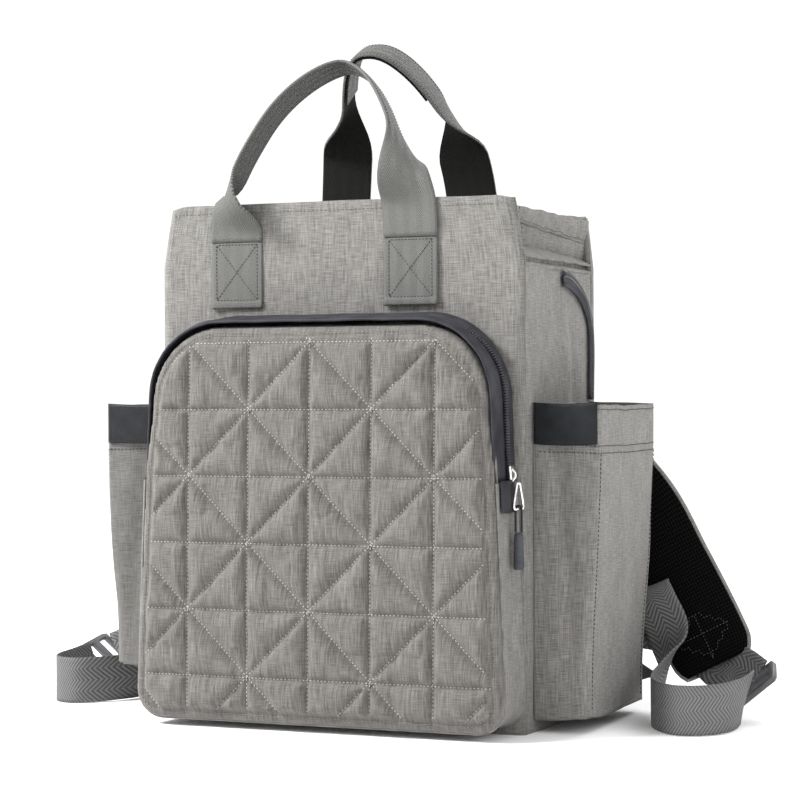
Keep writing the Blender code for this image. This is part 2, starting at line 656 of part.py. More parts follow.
def make_straps():
    """Padded straps with a mesh inner face, a ladder lock at the end, and slack webbing on the floor."""
    way_out = STRAP_END_X - STRAP_TOP_X
    foot = STRAP_ROUTE[-1][2]
    shift = YOKE_LOW - STRAP_BELOW_YOKE - STRAP_ROUTE[0][2]
    stretch = (STRAP_CURL + shift - foot) / (STRAP_CURL - foot)
    places = []
    for share, behind, z in STRAP_ROUTE:
        height = z + shift if z >= STRAP_CURL else foot + (z - foot) * stretch
        places.append((STRAP_TOP_X + share * way_out, BACK + behind, height))
    for side, sign in SIDES:
        route = smooth(mirrored(places, sign), 3)
        across = [Vector((1, 0, 0)) for _ in route]
        widths = [STRAP_WIDTH for _ in route]
        lift = STRAP_MESH / 2 + 4 * GAP
        foam = ribbon(f"shoulder_strap_{side}", route, across, widths, STRAP_FOAM, LINEN, lift)
        lift = -STRAP_FOAM / 2 - 2 * GAP
        mesh = ribbon(f"strap_mesh_{side}", route, across, widths, STRAP_MESH, MESH, lift)
        points = [point for point, _ in WEBBING_ROUTE]
        line = smooth(mirrored(points, sign), 3)
        turns = smooth(mirrored([way for _, way in WEBBING_ROUTE], sign), 3)
        widths = [STRAP_WEBBING for _ in line]
        name = f"strap_webbing_{side}"
        webbing = ribbon(name, line, turns, widths, STRAP_WEBBING_THICK, WEBBING_GREY)
        lock = ladder_lock(f"strap_lock_{side}", sign, Vector(places[-1]) + Vector(LOCK_FROM_STRAP))
        on_joint(f"strap_{side}_hinge", mirrored([places[0]], sign)[0], [foam, mesh, webbing, lock])


def ladder_lock(name, sign, place):
    """A moulded frame with a bar across it, so that it has two slots."""
    wide, tall, thick = LOCK
    outer = box_outline(0, wide / 2, tall / 2)
    slot_half = tall / 4 - LOCK_RIM * 0.75
    slots = [box_outline(side * tall / 4, wide / 2 - LOCK_RIM, slot_half) for side in (-1, 1)]
    lock = upright(name, [outer, *slots], -thick / 2, thick / 2, PLASTIC)
    wide_way, tall_way = mirrored([LOCK_WIDE, LOCK_TALL], sign)
    wide_way.normalize()
    tall_way = (tall_way - tall_way.project(wide_way)).normalized()
    turn = Matrix((wide_way, tall_way, wide_way.cross(tall_way))).transposed()
    lock.matrix_world = Matrix.Translation(mirrored([place], sign)[0]) @ turn.to_4x4()
    return lock


def box_outline(z, half_x, half_z):
    """A rectangle's corners, centred across and at a height."""
    return [(-half_x, z - half_z), (half_x, z - half_z), (half_x, z + half_z), (-half_x, z + half_z)]


for old in list(bpy.data.objects):
    bpy.data.objects.remove(old)
PARTS = bpy.data.collections.new("diaper_backpack")
bpy.context.scene.collection.children.link(PARTS)

LINEN = finish("linen", (0.34, 0.33, 0.32), 0.9)
QUILT = finish("quilted_linen", (0.40, 0.39, 0.38), 0.9)
ZIP_DARK = finish("zip_tape", (0.035, 0.035, 0.042), 0.8)
ZIP_METAL = finish("zip_teeth", (0.06, 0.06, 0.07), 0.5)
BAND_DARK = finish("grained_band", (0.030, 0.032, 0.038), 0.55)
WEBBING_GREY = finish("webbing", (0.22, 0.22, 0.215), 0.8)
MESH = finish("air_mesh", (0.012, 0.012, 0.012), 0.95)
PLASTIC = finish("moulded_plastic", (0.16, 0.16, 0.165), 0.5)
SILVER = finish("silver_metal", (0.72, 0.72, 0.72), 0.25, 1.0)
GRIP_GREY = finish("moulded_grip", (0.11, 0.115, 0.125), 0.6)
CORD_BLACK = finish("pull_cord", (0.02, 0.02, 0.022), 0.8)
LINING_GREY = finish("lining_cloth", (0.12, 0.12, 0.125), 0.8)
BOARD_GREY = finish("board", (0.20, 0.20, 0.20), 0.8)

INNER_FRONT, INNER_BACK = make_panels()
make_roof(INNER_FRONT, INNER_BACK)
make_front_pocket()
make_side_pockets()
make_side_zips()
make_handle("front_handle", -1, FRONT_HANDLE_HALF, FRONT_HANDLE_RISE, FRONT_HANDLE_LEAN, 1.2, FRONT_TWISTS)
make_handle("rear_handle", 1, REAR_HANDLE_HALF, REAR_HANDLE_RISE, REAR_HANDLE_LEAN, 0.9, REAR_TWISTS)
make_back()
make_straps()
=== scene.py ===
import math

import bmesh
import bpy
from mathutils import Matrix, Vector, noise


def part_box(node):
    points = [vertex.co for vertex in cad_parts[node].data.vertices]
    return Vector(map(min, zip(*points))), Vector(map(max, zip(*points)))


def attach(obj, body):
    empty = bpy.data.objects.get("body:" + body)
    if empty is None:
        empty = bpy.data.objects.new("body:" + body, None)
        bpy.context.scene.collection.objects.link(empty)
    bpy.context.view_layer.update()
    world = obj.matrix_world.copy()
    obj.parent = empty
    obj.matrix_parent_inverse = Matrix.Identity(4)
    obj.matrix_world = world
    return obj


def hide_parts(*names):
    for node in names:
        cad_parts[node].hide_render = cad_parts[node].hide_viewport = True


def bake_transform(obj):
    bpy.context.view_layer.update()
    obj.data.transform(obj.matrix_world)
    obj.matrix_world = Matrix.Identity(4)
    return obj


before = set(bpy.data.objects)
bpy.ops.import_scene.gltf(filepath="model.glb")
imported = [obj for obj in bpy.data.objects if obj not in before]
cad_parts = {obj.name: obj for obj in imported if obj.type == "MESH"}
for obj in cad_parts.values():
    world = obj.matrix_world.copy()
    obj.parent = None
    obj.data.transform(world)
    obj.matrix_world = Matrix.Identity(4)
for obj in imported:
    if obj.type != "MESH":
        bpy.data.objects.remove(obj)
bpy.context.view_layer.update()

# Places read from the frame
FRONT_LOW, FRONT_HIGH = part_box("front_panel")
HALF = FRONT_HIGH.x
FRONT = FRONT_LOW.y
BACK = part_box("back_panel")[1].y
INNER_FRONT, INNER_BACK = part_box("side_panel_right")[0].y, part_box("side_panel_right")[1].y
BOX_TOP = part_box("top_flap_front")[1].z
ROOF_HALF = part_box("top_flap_front")[1].x
FACE_LOW, FACE_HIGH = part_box("pocket_face_lower")
POCKET_FACE_FRONT, POCKET_FACE_BACK = FACE_LOW.y, FACE_HIGH.y
POCKET_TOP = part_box("pocket_face_upper")[1].z
POCKET_LOW = FACE_LOW.z
POCKET_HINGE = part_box("pocket_face_upper")[0].z
POCKET_BASE_HALF = FACE_HIGH.x
WALL_LOW, WALL_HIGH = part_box("side_pocket_wall_right")
SIDE_POCKET_LOW, SIDE_POCKET_TOP = WALL_LOW.z, WALL_HIGH.z
SIDE_POCKET_OUT = WALL_HIGH.x
SIDE_POCKET_FRONT, SIDE_POCKET_BACK = WALL_LOW.y, WALL_HIGH.y
SIDES = (("right", 1), ("left", -1))

# The front pocket's outline and its quilting
POCKET_TOP_HALF = 0.146
POCKET_TOP_RADIUS = 0.062
POCKET_BASE_RADIUS = 0.022
QUILT_CELL = 0.0519
QUILT_COLUMN = -0.1076
QUILT_ROW = 0.3007
QUILT_PUFF = 0.0088
QUILT_REACH = 0.0135
QUILT_STEP = QUILT_CELL / 28
QUILT_BORDER = 0.0085
THREAD_PACE = 0.0015

# The side pockets, and the zip that comes down behind each of them
SIDE_POCKET_BASE_REACH = 0.044
LEFT_POCKET_LIFT = 0.026
SIDE_ZIP_CURVE = 0.310
SIDE_ZIP_INSET = 0.0175

# Webbing
HANDLE_CENTRE = -0.012
HANDLE_WIDTH = 0.045
GRIP_WIDTH = 0.025
FRONT_TWISTS = ((0.02, 0.36), (0.15, 0.50))  # left leg, right leg: where the twist starts, and its run
REAR_TWISTS = ((0.45, 0.33), (0.45, 0.33))
STRAP_WIDTH = 0.070
STRAP_WEBBING = 0.038
LOCK = (0.050, 0.034, 0.006)
LOCK_WIDE = (0.77, 0, 0.64)
LOCK_TALL = (-0.25, 0.93, 0.27)
STRAP_ROUTE = [
    (0.0800, 0.1060, 0.2840),
    (0.0809, 0.1100, 0.2740),
    (0.0880, 0.1150, 0.2600),
    (0.1120, 0.1210, 0.2340),
    (0.1499, 0.1230, 0.2000),
    (0.1861, 0.1200, 0.1600),
    (0.2121, 0.1150, 0.1150),
    (0.2359, 0.1060, 0.0750),
    (0.2580, 0.0930, 0.0370),
]
WEBBING_ROUTE = [
    ((0.2945, 0.0410, 0.0235), (0.30, 0.10, 1)),
    ((0.2970, 0.0140, 0.0205), (0.12, 0.05, 1)),
    ((0.2950, -0.0170, 0.0197), (0, 0, 1)),
    ((0.2850, -0.0400, 0.0197), (0, 0, 1)),
    ((0.2710, -0.0490, 0.0197), (0, 0, 1)),
    ((0.2570, -0.0470, 0.0197), (0, 0, 1)),
    ((0.2400, -0.0270, 0.0200), (0, 0, 1)),
    ((0.2270, 0.0060, 0.0205), (0, 0, 1)),
    ((0.2230, 0.0400, 0.0270), (0.15, -0.10, 1)),
    ((0.2230, 0.0720, 0.0420), (0.40, -0.20, 0.9)),
    ((0.2160, 0.0885, 0.0660), (0.85, -0.05, 0.5)),
    ((0.2060, 0.0860, 0.0880), (1.0, 0.05, 0.3)),
    ((0.2010, 0.0870, 0.0970), (1.0, 0.0, 0.3)),
    ((0.1980, 0.0910, 0.1000), (1.0, 0.0, 0.1)),
    ((0.1955, 0.0950, 0.0960), (1.0, 0.0, 0.0)),
    ((0.1920, 0.0950, 0.0800), (1.0, 0.0, 0.1)),
    ((0.1880, 0.0920, 0.0500), (1.0, 0.0, 0.1)),
]

# Stitches: the pace from one to the next, a stitch's length and its width
HEM_STITCH = (0.0036, 0.0024, 0.0005)
ROOF_STITCH = (0.0036, 0.0023, 0.0005)
SIDE_ZIP_STITCH = (0.0034, 0.0022, 0.00045)
GUSSET_STITCH = (0.0034, 0.0024, 0.0006)
QUILT_STITCH = (0.0031, 0.0021, 0.00078)
QUILT_EDGE_STITCH = (0.0034, 0.0023, 0.0005)
SIDE_POCKET_STITCH = (0.0034, 0.0026, 0.0007)
BAND_STITCH = (0.0030, 0.0020, 0.00045)
GRIP_STITCH = (0.0030, 0.0021, 0.0005)
PATCH_STITCH = (0.0029, 0.0022, 0.0006)


# ---------------------------------------------------------------- camera, lights and floor
def set_stage():
    """The viewing angle, soft studio light from the upper left, and a pale plain floor."""
    lens = bpy.data.cameras.new("camera")
    lens.lens = 103.9
    lens.sensor_width = 36
    camera = bpy.data.objects.new("camera", lens)
    camera.location = (0.7451, -1.7433, 0.2607)
    turn = Matrix.Rotation(math.radians(22.69), 3, "Z") @ Matrix.Rotation(math.radians(89.84), 3, "X")
    camera.rotation_euler = (turn @ Matrix.Rotation(math.radians(-0.26), 3, "Z")).to_euler()
    bpy.context.scene.collection.objects.link(camera)
    bpy.context.scene.camera = camera
    world = bpy.data.worlds.new("studio")
    world.use_nodes = True
    world.node_tree.nodes["Background"].inputs["Color"].default_value = (1, 1, 1, 1)
    world.node_tree.nodes["Background"].inputs["Strength"].default_value = 1.06
    bpy.context.scene.world = world
    bpy.context.scene.view_settings.view_transform = "Standard"
    for name, place, size, power in (
        ("key", (-1.55, -1.25, 1.95), 0.7, 125),
        ("fill", (2.1, -0.9, 1.0), 1.2, 12),
        ("rim", (0.6, 1.8, 1.9), 1.2, 30),
    ):
        lamp = bpy.data.lights.new(name, "AREA")
        lamp.size = size
        lamp.energy = power
        light = bpy.data.objects.new(name, lamp)
        light.location = place
        light.rotation_euler = (Vector(place) - Vector((0, 0, 0.2))).to_track_quat("Z", "Y").to_euler()
        bpy.context.scene.collection.objects.link(light)
    shape = bmesh.new()
    bmesh.ops.create_grid(shape, x_segments=2, y_segments=2, size=30)
    mesh = bpy.data.meshes.new("floor")
    shape.to_mesh(mesh)
    shape.free()
    mesh.materials.append(plain_finish("floor_paper", (0.97, 0.97, 0.97), 0.9))
    floor = bpy.data.objects.new("floor", mesh)
    bpy.context.scene.collection.objects.link(floor)


# ---------------------------------------------------------------- materials
def plain_finish(name, colour, roughness, metallic=0.0):
    """One even finish, which the others start from; the darkest ones shine less."""
    made = bpy.data.materials.new(name)
    made.use_nodes = True
    shader = made.node_tree.nodes["Principled BSDF"]
    shader.inputs["Base Color"].default_value = (*colour, 1)
    shader.inputs["Roughness"].default_value = roughness
    shader.inputs["Metallic"].default_value = metallic
    shader.inputs["Specular IOR Level"].default_value = 0.18 if max(colour) < 0.07 else 0.4
    return made


class Nodes:
    """Short names for wiring one material's nodes."""

    def __init__(self, made):
        self.tree = made.node_tree
        self.shader = self.tree.nodes["Principled BSDF"]

    def add(self, kind, **values):
        node = self.tree.nodes.new(kind)
        for key, value in values.items():
            setattr(node, key, value)
        return node

    def link(self, start, end):
        self.tree.links.new(start, end)

    def math(self, operation, *values):
        node = self.add("ShaderNodeMath", operation=operation)
        for socket, value in zip(node.inputs, values):
            if isinstance(value, (int, float)):
                socket.default_value = value
            else:
                self.link(value, socket)
        return node.outputs[0]

    def weave(self):
        """The piece's own cloth coordinates, in metres across and along."""
        return self.add("ShaderNodeUVMap", uv_map="weave").outputs[0]

    def place(self):
        return self.add("ShaderNodeTexCoord").outputs["Object"]

    def scaled(self, vector, scale):
        node = self.add("ShaderNodeMapping")
        node.inputs["Scale"].default_value = scale
        self.link(vector, node.inputs["Vector"])
        return node.outputs[0]

    def across(self, vector, axis):
        """One part of a coordinate: 0 across the cloth, 1 along it."""
        node = self.add("ShaderNodeSeparateXYZ")
        self.link(vector, node.inputs[0])
        return node.outputs[axis]

    def noise(self, vector, scale, detail=2.0):
        node = self.add("ShaderNodeTexNoise")
        node.inputs["Scale"].default_value = 1.0
        node.inputs["Detail"].default_value = detail
        self.link(self.scaled(vector, scale), node.inputs["Vector"])
        return node.outputs["Fac"]

    def ramp(self, value, *stops):
        node = self.add("ShaderNodeValToRGB")
        while len(node.color_ramp.elements) < len(stops):
            node.color_ramp.elements.new(0.5)
        for element, (spot, colour) in zip(node.color_ramp.elements, stops):
            element.position = spot
            element.color = (*colour, 1)
        self.link(value, node.inputs["Fac"])
        return node.outputs["Color"]

    def bump(self, height, distance, strength=1.0):
        node = self.add("ShaderNodeBump")
        node.inputs["Distance"].default_value = distance
        node.inputs["Strength"].default_value = strength
        self.link(height, node.inputs["Height"])
        self.link(node.outputs[0], self.shader.inputs["Normal"])

    def colour(self, value):
        self.link(value, self.shader.inputs["Base Color"])

    def rough(self, value, low, high):
        node = self.add("ShaderNodeMapRange")
        node.inputs["To Min"].default_value = low
        node.inputs["To Max"].default_value = high
        self.link(value, node.inputs["Value"])
        self.link(node.outputs[0], self.shader.inputs["Roughness"])


def slub_linen(name, dark, light, crossing=0.55):
    """Two-tone linen: long thin slubs down the warp and across the weft over a fine plain weave."""
    made = plain_finish(name, light, 0.92)
    n = Nodes(made)
    flat = n.weave()
    warp = n.math("ADD", n.math("MULTIPLY", n.noise(flat, (1350, 75, 1), 3), 0.62),
                  n.math("MULTIPLY", n.noise(flat, (560, 38, 1), 2), 0.38))
    weft = n.noise(flat, (85, 1450, 1), 3)
    patch = n.noise(flat, (45, 30, 1), 2)
    fine = n.math("MULTIPLY", n.math("SINE", n.math("MULTIPLY", n.across(flat, 0), 5200)), 0.5)
    fill = n.math("MULTIPLY", n.math("SINE", n.math("MULTIPLY", n.across(flat, 1), 5200)), 0.5)
    threads = n.math("ADD", n.math("MULTIPLY", warp, 1 - crossing), n.math("MULTIPLY", weft, crossing))
    tone = n.math("ADD", n.math("MULTIPLY", threads, 0.92), n.math("MULTIPLY", patch, 0.08))
    n.colour(n.ramp(tone, (0.39, dark), (0.50, [(a + b) / 2 for a, b in zip(dark, light)]), (0.60, light)))
    cross_weave = n.math("MULTIPLY", n.math("ADD", fine, fill), 0.18)
    height = n.math("ADD", n.math("MULTIPLY", threads, 2.0), cross_weave)
    n.bump(height, 0.00055, 0.8)
    n.rough(warp, 0.84, 0.98)
    n.shader.inputs["Sheen Weight"].default_value = 0.12
    return made


def ribbed_webbing(name, dark, light, zigzag, ribs, rough=0.62):
    """Woven webbing: ribs that run in a zigzag of the given width across the band."""
    made = plain_finish(name, light, rough)
    n = Nodes(made)
    flat = n.weave()
    turn = n.math("PINGPONG", n.across(flat, 0), zigzag)
    line = n.math("SINE", n.math("MULTIPLY", n.math("ADD", n.across(flat, 1), turn), math.tau * ribs))
    grain = n.noise(flat, (700, 900, 1), 2)
    tone = n.math("ADD", n.math("MULTIPLY", n.math("ADD", line, 1), 0.30), n.math("MULTIPLY", grain, 0.45))
    n.colour(n.ramp(tone, (0.12, dark), (0.82, light)))
    n.bump(tone, 0.0007, 0.9)
    n.rough(tone, rough + 0.14, rough - 0.06)
    return made


def zip_cloth(name, colour):
    """Charcoal tape: a fine diagonal twill with a soft sheen."""
    made = plain_finish(name, colour, 0.6)
    n = Nodes(made)
    flat = n.weave()
    twill = n.math("SINE", n.math("MULTIPLY", n.math("ADD", n.across(flat, 0), n.across(flat, 1)), 5600))
    worn = n.noise(flat, (60, 60, 1), 3)
    tone = n.math("ADD", n.math("MULTIPLY", twill, 0.12), worn)
    n.colour(n.ramp(tone, (0.3, [c * 0.7 for c in colour]), (0.75, [c * 1.7 for c in colour])))
    n.bump(tone, 0.0004, 0.5)
    n.rough(worn, 0.45, 0.68)
    return made


def grained_leather(name, colour):
    """Dark grained band: small pebbles with a satin top."""
    made = plain_finish(name, colour, 0.45)
    n = Nodes(made)
    cells = n.add("ShaderNodeTexVoronoi", feature="DISTANCE_TO_EDGE")
    cells.inputs["Scale"].default_value = 1
    n.link(n.scaled(n.weave(), (900, 900, 1)), cells.inputs["Vector"])
    worn = n.noise(n.weave(), (90, 90, 1), 4)
    n.colour(n.ramp(worn, (0.3, [c * 0.75 for c in colour]), (0.75, [c * 1.6 for c in colour])))
    n.bump(cells.outputs["Distance"], 0.0006, 0.55)
    n.rough(worn, 0.36, 0.58)
    return made


def spacer_mesh(name):
    """Black air mesh: rows of round holes in a ribbed knit."""
    made = plain_finish(name, (0.004, 0.004, 0.004), 0.8)
    made.node_tree.nodes["Principled BSDF"].inputs["Specular IOR Level"].default_value = 0.04
    n = Nodes(made)
    flat = n.weave()
    rows, columns = [
        n.math("SINE", n.math("MULTIPLY", n.math(way, n.across(flat, 0), n.across(flat, 1)), 1250))
        for way in ("ADD", "SUBTRACT")
    ]
    holes = n.math("MULTIPLY", rows, columns)
    knit = n.noise(flat, (1400, 700, 1), 2)
    tone = n.math("ADD", n.math("MULTIPLY", holes, 0.4), n.math("MULTIPLY", knit, 0.6))
    n.colour(n.ramp(tone, (0.15, (0.0012, 0.0012, 0.0012)), (0.75, (0.0085, 0.0085, 0.0085))))
    n.bump(tone, 0.0013, 1.0)
    n.rough(knit, 0.65, 0.9)
    return made


def moulded(name, colour, rough, speckle=900):
    """Moulded plastic or rubber with a fine spark-eroded texture and slight wear."""
    made = plain_finish(name, colour, rough)
    n = Nodes(made)
    grain = n.noise(n.place(), (speckle, speckle, speckle), 3)
    worn = n.noise(n.place(), (70, 70, 70), 3)
    n.colour(n.ramp(worn, (0.3, [c * 0.8 for c in colour]), (0.75, [c * 1.3 for c in colour])))
    n.bump(grain, 0.0003, 0.4)
    n.rough(worn, rough - 0.08, rough + 0.1)
    return made


def plated(name):
    """Bright silver plating with faint brushing and rubbed edges."""
    made = plain_finish(name, (0.80, 0.79, 0.77), 0.2, 1.0)
    n = Nodes(made)
    brush = n.noise(n.place(), (300, 300, 2200), 3)
    worn = n.noise(n.place(), (160, 160, 160), 3)
    n.colour(n.ramp(worn, (0.25, (0.60, 0.59, 0.57)), (0.7, (0.86, 0.85, 0.83))))
    n.bump(brush, 0.0001, 0.3)
    n.rough(worn, 0.12, 0.34)
    return made


def spun_thread(name, colour):
    """Spun thread or cord, mottled by its ply."""
    made = plain_finish(name, colour, 0.6)
    n = Nodes(made)
    ply = n.noise(n.place(), (2600, 2600, 2600), 2)
    n.colour(n.ramp(ply, (0.3, [c * 0.7 for c in colour]), (0.7, colour)))
    n.bump(ply, 0.0002, 0.6)
    return made


LINEN = slub_linen("linen_body", (0.085, 0.081, 0.075), (0.222, 0.215, 0.203), 0.42)
# The quilted face: the body's linen in a darker copy, its colour holding painted shade.
LINEN_QUILT_SHADED = slub_linen("linen_quilted_painted_shade", (0.058, 0.054, 0.049), (0.158, 0.150, 0.140), 0.30)
# Inner faces of the side pockets and their floors: the body's linen in a darker copy, with painted shade.
LINEN_INNER_SHADED = slub_linen("linen_inner_face_painted_shade", (0.07, 0.067, 0.062), (0.15, 0.145, 0.138))
WEBBING_LIGHT = ribbed_webbing("webbing_outer", (0.050, 0.050, 0.047), (0.150, 0.150, 0.142), 0.0056, 620)
# The front handle's inner face: the webbing's dark back in a lighter copy, with painted sheen.
WEBBING_INNER_SHEEN = ribbed_webbing(
    "webbing_front_inner_painted_sheen", (0.045, 0.045, 0.042), (0.120, 0.120, 0.114), 0.0056, 620, 0.5
)
# The rear handle's inner face: the webbing's dark back, with painted shade that takes it to near black.
WEBBING_INNER_SHADED = ribbed_webbing(
    "webbing_inner_painted_shade", (0.003, 0.003, 0.0025), (0.010, 0.010, 0.009), 0.0056, 620, 0.8
)
WEBBING_HERRINGBONE = ribbed_webbing(
    "webbing_herringbone", (0.036, 0.036, 0.036), (0.150, 0.150, 0.150), 0.0095, 250
)
ZIP_TAPE = zip_cloth("zip_tape_charcoal", (0.022, 0.022, 0.027))
ZIP_TEETH = moulded("zip_coil", (0.050, 0.050, 0.056), 0.30, 1500)
BAND = grained_leather("grained_band_dark", (0.0085, 0.0092, 0.011))
AIR_MESH = spacer_mesh("air_mesh_black")
PLASTIC = moulded("moulded_plastic_grey", (0.075, 0.075, 0.080), 0.45)
GRIP = moulded("moulded_grip_grey", (0.050, 0.052, 0.060), 0.6)
SILVER = plated("silver_plating")
CORD = spun_thread("pull_cord_black", (0.020, 0.020, 0.022))
THREAD_WHITE = spun_thread("thread_white", (0.50, 0.485, 0.46))
THREAD_PALE = spun_thread("thread_pale", (0.25, 0.24, 0.23))
THREAD_GREY = spun_thread("thread_grey", (0.10, 0.097, 0.092))
THREAD_DARK = spun_thread("thread_dark", (0.022, 0.022, 0.022))
LINING = zip_cloth("lining_cloth_grey", (0.105, 0.105, 0.11))
BOARD = moulded("stiffener_board", (0.20, 0.20, 0.20), 0.8)


# ---------------------------------------------------------------- shaping tools
def add_piece(name, shape, materials, body=None, stands_for=()):
    """Turns a bmesh into a smooth-shaded piece that rides on a body."""
    mesh = bpy.data.meshes.new(name)
    shape.to_mesh(mesh)
    shape.free()
    mesh.shade_smooth()
    for made in materials:
        mesh.materials.append(made)
    piece = bpy.data.objects.new(name, mesh)
    bpy.context.scene.collection.objects.link(piece)
    if body:
        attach(piece, body)
    if stands_for:
        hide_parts(*stands_for)
    return piece


def cloth_shape(cells, place, size):
    """A grid of cells bent so that each point lies at place(u, v); its weave is laid out in metres."""
    shape = bmesh.new()
    bmesh.ops.create_grid(shape, x_segments=cells[0], y_segments=cells[1], size=0.5)
    weave = shape.loops.layers.uv.new("weave")
    for face in shape.faces:
        for loop in face.loops:
            loop[weave].uv = ((loop.vert.co.x + 0.5) * size[0], (loop.vert.co.y + 0.5) * size[1])
    for vert in shape.verts:
        vert.co = place(vert.co.x + 0.5, vert.co.y + 0.5)
    return shape


def cloth(name, cells, place, size, wall, materials, body, stands_for=(), offset=-1.0):
    """A sewn sheet with a thickness. The second material, if there is one, is its inner face."""
    piece = add_piece(name, cloth_shape(cells, place, size), materials, body, stands_for)
    thicken(piece, wall, offset, len(materials) - 1)
    return piece


def thicken(piece, wall, offset=-1.0, inner=0):
    solid = piece.modifiers.new("wall", "SOLIDIFY")
    solid.thickness = wall
    solid.offset = offset
    solid.material_offset = inner
    return solid


def apply_modifier(piece, modifier):
    graph = bpy.context.evaluated_depsgraph_get()
    mesh = bpy.data.meshes.new_from_object(piece.evaluated_get(graph))
    piece.modifiers.remove(modifier)
    piece.data = mesh


def between(start, end, share):
    return start + (end - start) * share


def nearest(rows, share):
    """The number of the row that lies closest to a share of the way along."""
    return min(int(round(share * (len(rows) - 1))), len(rows) - 1)


def heading(route, i):
    """The way that a route runs at its point i."""
    return (route[min(i + 1, len(route) - 1)] - route[max(i - 1, 0)]).normalized()


def traced(place, start, end, steps, lift=(0, 0, 0)):
    """Places on a straight way across a cloth, from one (u, v) to another, each a little off its face."""
    shares = [i / steps for i in range(steps + 1)]
    return [place(between(start[0], end[0], t), between(start[1], end[1], t)) + Vector(lift) for t in shares]


def round_edges(shape, edges, width, segments=3):
    bmesh.ops.bevel(
        shape, geom=edges, offset=width, affect="EDGES", segments=segments, profile=0.5, material=-1
    )


def tube(name, route, radius, materials, body, stands_for=(), closed=False):
    """A round rod carried along a route."""
    frames = route_frames(route, closed)

    def place(u, v):
        point, side, up = frames[nearest(frames, v)]
        turn = u * math.tau
        return point + side * (radius * math.cos(turn)) + up * (radius * math.sin(turn))

    shape = cloth_shape((12, len(frames) - 1), place, (math.tau * radius, path_length(route)))
    bmesh.ops.remove_doubles(shape, verts=shape.verts, dist=1e-6)
    if not closed:
        bmesh.ops.holes_fill(shape, edges=[edge for edge in shape.edges if edge.is_boundary], sides=0)
    bmesh.ops.recalc_face_normals(shape, faces=shape.faces)
    return add_piece(name, shape, materials, body, stands_for)


def route_frames(route, closed=False):
    """Each point of a route with a side and an up direction square to it, carried on without twist."""
    frames = []
    side = None
    for i, point in enumerate(route):
        if closed:
            ahead = (route[(i + 1) % (len(route) - 1)] - route[(i - 1) % (len(route) - 1)]).normalized()
        else:
            ahead = heading(route, i)
        if side is None:
            side = ahead.orthogonal()
        side = (side - ahead * side.dot(ahead)).normalized()
        frames.append((point, side, ahead.cross(side)))
    return frames


def turned(name, profile, spot, materials, body, stands_for=()):
    """A round piece: a profile of radius and height, spun about a vertical line."""
    shape = bmesh.new()
    chain = [shape.verts.new((max(radius, 1e-5), 0, z)) for radius, z in profile]
    edges = [shape.edges.new(pair) for pair in zip(chain, chain[1:])]
    bmesh.ops.spin(
        shape, geom=chain + edges, cent=(0, 0, 0), axis=(0, 0, 1), angle=math.tau, steps=28, use_merge=True
    )
    bmesh.ops.remove_doubles(shape, verts=shape.verts, dist=2e-5)
    bmesh.ops.recalc_face_normals(shape, faces=shape.faces)
    bmesh.ops.translate(shape, vec=spot, verts=shape.verts)
    return add_piece(name, shape, materials, body, stands_for)


def path_length(route):
    return sum((b - a).length for a, b in zip(route, route[1:]))


def paced(route, pitch):
    """Evenly spaced places along a route, each with the way that it runs there."""
    walked = 0.0
    due = pitch / 2
    for a, b in zip(route, route[1:]):
        step = (b - a).length
        while due <= walked + step and step > 0:
            yield a.lerp(b, (due - walked) / step), (b - a).normalized()
            due += pitch
        walked += step


def sew(name, lines, stitch, material, body):
    """Stitches: a small thread bump at each pace along each line."""
    pace, long, wide = stitch
    shape = bmesh.new()
    for line in lines:
        for spot, way in paced(line, pace):
            turn = way.to_track_quat("X", "Z").to_matrix().to_4x4()
            place = Matrix.Translation(spot) @ turn @ Matrix.Diagonal((long / 2, wide / 2, wide / 2, 1))
            bmesh.ops.create_icosphere(shape, subdivisions=1, radius=1, matrix=place)
    return add_piece(name, shape, [material], body)


def row_of_teeth(name, route, pitch, size, outward, body, stands_for=()):
    """Zip teeth: small rounded bars set across a route. outward gives the way out of the zip at a place."""
    shape = bmesh.new()
    for spot, way in paced(route, pitch):
        out = outward(spot)
        turn = Matrix((way, out.cross(way), out)).transposed().to_4x4()
        place = Matrix.Translation(spot) @ turn @ Matrix.Diagonal((*[edge / 2 for edge in size], 1))
        bmesh.ops.create_icosphere(shape, subdivisions=1, radius=1.15, matrix=place)
    bmesh.ops.recalc_face_normals(shape, faces=shape.faces)
    return add_piece(name, shape, [ZIP_TEETH], body, stands_for)


def smooth_line(points, steps):
    """A Catmull-Rom curve through the points."""
    points = [Vector(point) for point in points]
    ends = [2 * points[0] - points[1], *points, 2 * points[-1] - points[-2]]
    route = []
    for a, b, c, d in zip(ends, ends[1:], ends[2:], ends[3:]):
        for step in range(steps):
            t = step / steps
            bend = (2 * a - 5 * b + 4 * c - d) * t**2 + (3 * b - a - 3 * c + d) * t**3
            route.append((2 * b + (c - a) * t + bend) / 2)
    return [*route, points[-1]]


def mirrored(points, sign):
    return [Vector((sign * x, y, z)) for x, y, z in points]


def arc(centre, radius, start, end, steps):
    angles = [math.radians(start + (end - start) * i / steps) for i in range(steps + 1)]
    return [(centre[0] + radius * math.cos(a), centre[1] + radius * math.sin(a)) for a in angles]


def ruffle(x, y, z, seed=0.0):
    """Soft noise from -1 to 1, for the slack in cloth."""
    return noise.noise(Vector((x, y + seed, z)))


def ease(value):
    value = min(max(value, 0.0), 1.0)
    return value * value * (3 - 2 * value)


def bell(value, middle, width):
    return math.exp(-(((value - middle) / width) ** 2))


# ---------------------------------------------------------------- front and back panels with their wings
def wing_edge(node):
    """A panel's top, and its half width at a height: the wing draws in above the body."""
    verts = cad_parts[node].data.vertices
    top = max(vert.co.z for vert in verts)
    top_half = max(vert.co.x for vert in verts if vert.co.z > top - 0.002)

    def half_at(z):
        return between(HALF, top_half, min(max((z - BOX_TOP) / (top - BOX_TOP), 0), 1))

    return top, half_at


